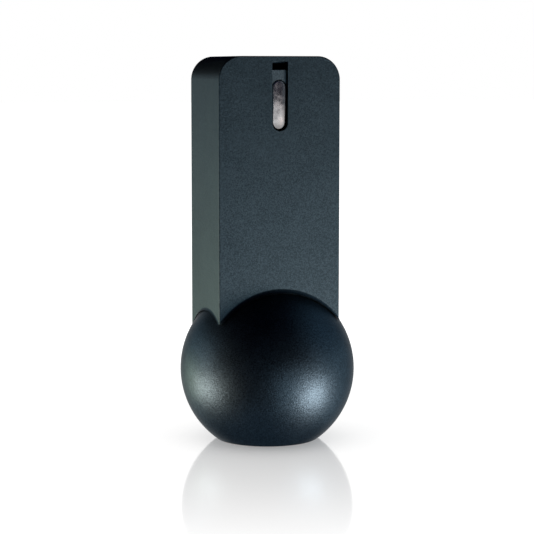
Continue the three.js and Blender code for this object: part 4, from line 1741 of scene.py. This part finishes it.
@dataclass(frozen=True)
class Panel:
    """One soft lamp: its size and place in millimetres, what it faces and its power in watts."""

    name: str
    at: Corner
    aim: Corner
    width: float
    height: float
    power: float
    colour: Colour = (1.0, 1.0, 1.0)
    in_gloss: bool = True

    def build(self) -> None:
        """Makes the lamp."""
        lamp = bpy.data.lights.new(self.name, "AREA")
        lamp.shape = "RECTANGLE"
        lamp.size, lamp.size_y = self.width * MM, self.height * MM
        lamp.energy = self.power
        lamp.color = self.colour
        holder = bpy.data.objects.new(self.name, lamp)
        bpy.context.scene.collection.objects.link(holder)
        place = Vector(self.at) * MM
        holder.location = place
        facing = (Vector(self.aim) * MM - place).to_track_quat("-Z", "Y")
        holder.rotation_euler = facing.to_euler()
        holder.visible_camera = False
        holder.visible_glossy = self.in_gloss


CARD_TINT: Colour = (0.8, 1.0, 1.15)
CARD_BLUE = 0.012  # what even the blackest card adds to blue


def hang_card(card: Piece, tone: float) -> None:
    """Hides a card from everything but reflections and gives it its dark tone.

    Args:
        card: The card.
        tone: How bright it is, from 0 for black.
    """
    card.visible_camera = False
    card.visible_diffuse = False
    card.visible_shadow = False
    card.visible_transmission = False
    red, green, blue = scaled(CARD_TINT, tone)
    sheet = NodeSheet(f"{card.name}_card")
    sheet.shade(
        Base_Color=(0, 0, 0, 1),
        Specular_IOR_Level=0.0,
        Roughness=1.0,
        Emission_Color=(red, green, blue + CARD_BLUE, 1),
        Emission_Strength=1.0,
    )
    card.data.materials.append(sheet.material)


@dataclass(frozen=True)
class Flag:
    """A dark card bent round the object, seen only in reflections, as a studio's black flags are.

    Its start and end are turns in degrees from -Y towards +X.
    """

    name: str
    radius: float
    low: float
    high: float
    start: float
    end: float
    tone: float = 0.0
    steps: int = 48

    def build(self) -> None:
        """Makes the card and hangs it."""
        corners: list[Corner] = []
        for height in (self.low, self.high):
            for step in range(self.steps + 1):
                turn = math.radians(self.start + (self.end - self.start) * step / self.steps)
                x, y = self.radius * math.sin(turn), -self.radius * math.cos(turn)
                corners.append((x, y, height))
        row = self.steps + 1
        faces = [(k, k + 1, row + k + 1, row + k) for k in range(self.steps)]
        hang_card(new_object(self.name, corners, faces), self.tone)


def level_square(name: str, half: float, height: float) -> Piece:
    """A level square of one face, centred on the object."""
    corners = [(x * half, y * half, height) for x, y in ((-1, -1), (1, -1), (1, 1), (-1, 1))]
    return new_object(name, corners, [range(len(corners))])


@dataclass(frozen=True)
class LevelCard:
    """A level dark card above or below the object, seen only in reflections."""

    name: str
    half: float
    height: float
    tone: float = 0.0

    def build(self) -> None:
        """Makes the card and hangs it."""
        hang_card(level_square(self.name, self.half, self.height), self.tone)


@dataclass(frozen=True)
class Studio:
    """The camera, the pale floor, the soft lamps and the dark cards.

    The camera's place comes from the photograph: its turn and pitch in degrees, its focal length
    and the ball's centre in the photograph's pixels, and its distance. The floor glows for the
    camera alone, from glow at its middle to its edge, and its mirror image of the object fades
    over mirror_span.
    """

    azimuth: float = -20.556
    pitch: float = 6.207
    focal: float = 1806.4
    frame_width: float = 534.0
    distance: float = 596.3
    ball_px: Point = (267.17, 367.05)
    sensor: float = 36.0
    clip: Span = (0.01, 100.0)
    fill: float = 0.8
    white: float = 1.0
    floor_half: float = 6000.0
    floor_grain: Noise = Noise(30)
    floor_dark: Colour = (0.80, 0.80, 0.80)
    floor_light: Colour = (0.82, 0.82, 0.82)
    floor_rough: float = 0.6
    glow: Span = (0.53, 0.55)
    glow_span: Span = (50.0, 500.0)
    polish: float = 0.08
    mirror: Span = (0.49, 0.06)
    mirror_span: Span = (25.0, 240.0)

    def camera(self) -> None:
        """Places the camera from the ball's centre, by its place in the photograph's frame."""
        turn, tip = math.radians(self.azimuth), math.radians(self.pitch)
        flat, rise = math.cos(tip), math.sin(tip)
        right = Vector((math.cos(turn), math.sin(turn), 0))
        back = Vector((math.sin(turn) * flat, -math.cos(turn) * flat, rise))
        up = back.cross(right)
        middle = self.frame_width / 2
        across = (self.ball_px[0] - middle) * self.distance / self.focal
        down = (self.ball_px[1] - middle) * self.distance / self.focal
        ball = Vector((0, 0, LAYOUT.centre_height))
        place = (ball - right * across + up * down + back * self.distance) * MM
        data = bpy.data.cameras.new("camera")
        data.sensor_width = self.sensor
        data.lens = self.focal / self.frame_width * self.sensor
        data.clip_start, data.clip_end = self.clip
        data.dof.use_dof = False
        holder = bpy.data.objects.new("camera", data)
        bpy.context.scene.collection.objects.link(holder)
        turned = Matrix((right, up, back)).transposed()
        holder.matrix_world = Matrix.Translation(place) @ turned.to_4x4()
        bpy.context.scene.camera = holder

    def floor(self) -> None:
        """Lays the polished floor, which casts no shadow and lets the low lamps' light through."""
        floor = level_square("floor", self.floor_half, 0.0)
        floor.visible_glossy = False
        floor.visible_shadow = False
        sheet = NodeSheet("floor_paint")
        grain = sheet.noise(self.floor_grain)
        sheet.colour(sheet.blend(grain, self.floor_dark, self.floor_light))
        sheet.shade(Roughness=self.floor_rough, Specular_IOR_Level=0.0)
        length = sheet.add("ShaderNodeVectorMath", operation="LENGTH")
        sheet.join(sheet.place, length.inputs[0])
        away = length.outputs["Value"]
        near, far = self.glow_span
        glow = sheet.ranged(away, self.glow, (near * MM, far * MM))
        emission = sheet.add("ShaderNodeEmission")
        seen = sheet.maths(Maths.PRODUCT, sheet.white_share((0.0, self.white)), glow)
        sheet.join(seen, emission.inputs["Strength"])
        paint = sheet.add("ShaderNodeAddShader")
        sheet.join(sheet.shader.outputs[0], paint.inputs[0])
        sheet.join(emission.outputs[0], paint.inputs[1])
        polish = sheet.add("ShaderNodeBsdfGlossy")
        polish.inputs["Roughness"].default_value = self.polish
        near, far = self.mirror_span
        share = sheet.ranged(away, self.mirror, (near * MM, far * MM))
        share.node.interpolation_type = "SMOOTHSTEP"
        mixed = sheet.add("ShaderNodeMixShader")
        sheet.join(share, mixed.inputs[0])
        sheet.join(paint.outputs[0], mixed.inputs[1])
        sheet.join(polish.outputs[0], mixed.inputs[2])
        sheet.show(mixed)
        floor.data.materials.append(sheet.material)

    def world(self) -> None:
        """Sets white behind the object, and a plain even fill on it."""
        world = bpy.data.worlds.new("studio")
        bpy.context.scene.world = world
        world.use_nodes = True
        nodes = Nodes(world.node_tree)
        output = nodes.add("ShaderNodeOutputWorld")
        ground = nodes.add("ShaderNodeBackground")
        ground.inputs["Color"].default_value = (1, 1, 1, 1)
        nodes.join(nodes.white_share((self.fill, self.white)), ground.inputs["Strength"])
        nodes.join(ground.outputs[0], output.inputs[0])

    def lamps(self) -> list[Panel]:
        """The soft lamps: one high over the floor, three on the left and a low one on the right.

        Returns:
            The lamps.
        """
        ball, handle_foot, handle_low = (0, 0, 24), (0, 0, 40), (0, 0, 60)
        return [
            Panel(
                "high_panel",
                at=(-150, -250, 1300),
                aim=handle_low,
                width=1400,
                height=1400,
                power=6,
                in_gloss=False,
            ),
            Panel(
                "left_panel",
                at=(-526, 172, -172),
                aim=ball,
                width=400,
                height=150,
                power=5.5,
                colour=(1.0, 0.64, 0.45),
            ),
            Panel(
                "left_upper",
                at=(-262, 80, 45),
                aim=ball,
                width=120,
                height=90,
                power=0.07,
                colour=(1.0, 0.7, 0.53),
            ),
            Panel(
                "left_fill",
                at=(-400, 440, -100),
                aim=handle_foot,
                width=330,
                height=260,
                power=1.46,
                colour=(1.0, 0.74, 0.38),
            ),
            Panel(
                "right_panel",
                at=(386, -354, -248),
                aim=ball,
                width=240,
                height=240,
                power=6.5,
                colour=(1.0, 0.69, 0.56),
            ),
        ]

    def cards(self) -> list[Flag | LevelCard]:
        """The dark cards in front, right, behind, left, above and below.

        Returns:
            The cards.
        """
        far, mid, near = 900, 640, 300
        return [
            Flag("front_flag", far, low=7, high=1000, start=-102, end=32, tone=0.01),
            Flag("front_right_flag", far, low=7, high=1000, start=32, end=52, tone=0.14),
            Flag("back_flag", near, low=147, high=700, start=145, end=258),
            Flag("right_flag", near, low=82, high=215, start=52, end=118, tone=0.42),
            Flag("right_high_flag", near, low=215, high=380, start=52, end=145, tone=0.36),
            Flag("right_top_flag", near, low=380, high=700, start=52, end=145, tone=0.08),
            Flag("low_flag", near, low=-330, high=14, start=-90, end=-8, tone=0.03),
            Flag("left_low_flag", mid, low=-700, high=-20, start=-140, end=-90, tone=0.15),
            LevelCard("top_flag", half=1300, height=900),
            LevelCard("base_flag", half=148, height=-120, tone=0.22),
        ]

    def build(self) -> None:
        """Sets up the whole studio."""
        self.camera()
        self.floor()
        self.world()
        for fitting in (*self.lamps(), *self.cards()):
            fitting.build()
        bpy.context.scene.view_settings.view_transform = "Standard"


def main() -> None:
    """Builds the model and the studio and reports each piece."""
    logging.basicConfig(level=logging.INFO, format="%(name)s: %(message)s")
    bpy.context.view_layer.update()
    for maker in (HandleShell(), RearCover(), KeyCarriage(), ThumbKey(), RollingBall()):
        pieces = maker.build()
        maker.dress(pieces)
        for piece in pieces:
            log.info("%s: %d faces", piece.name, len(piece.data.polygons))
    for name in InnerWorks().dress():
        log.info("%s: finished", name)
    Studio().build()
    log.info("studio set")


if __name__ == "__main__":
    main()
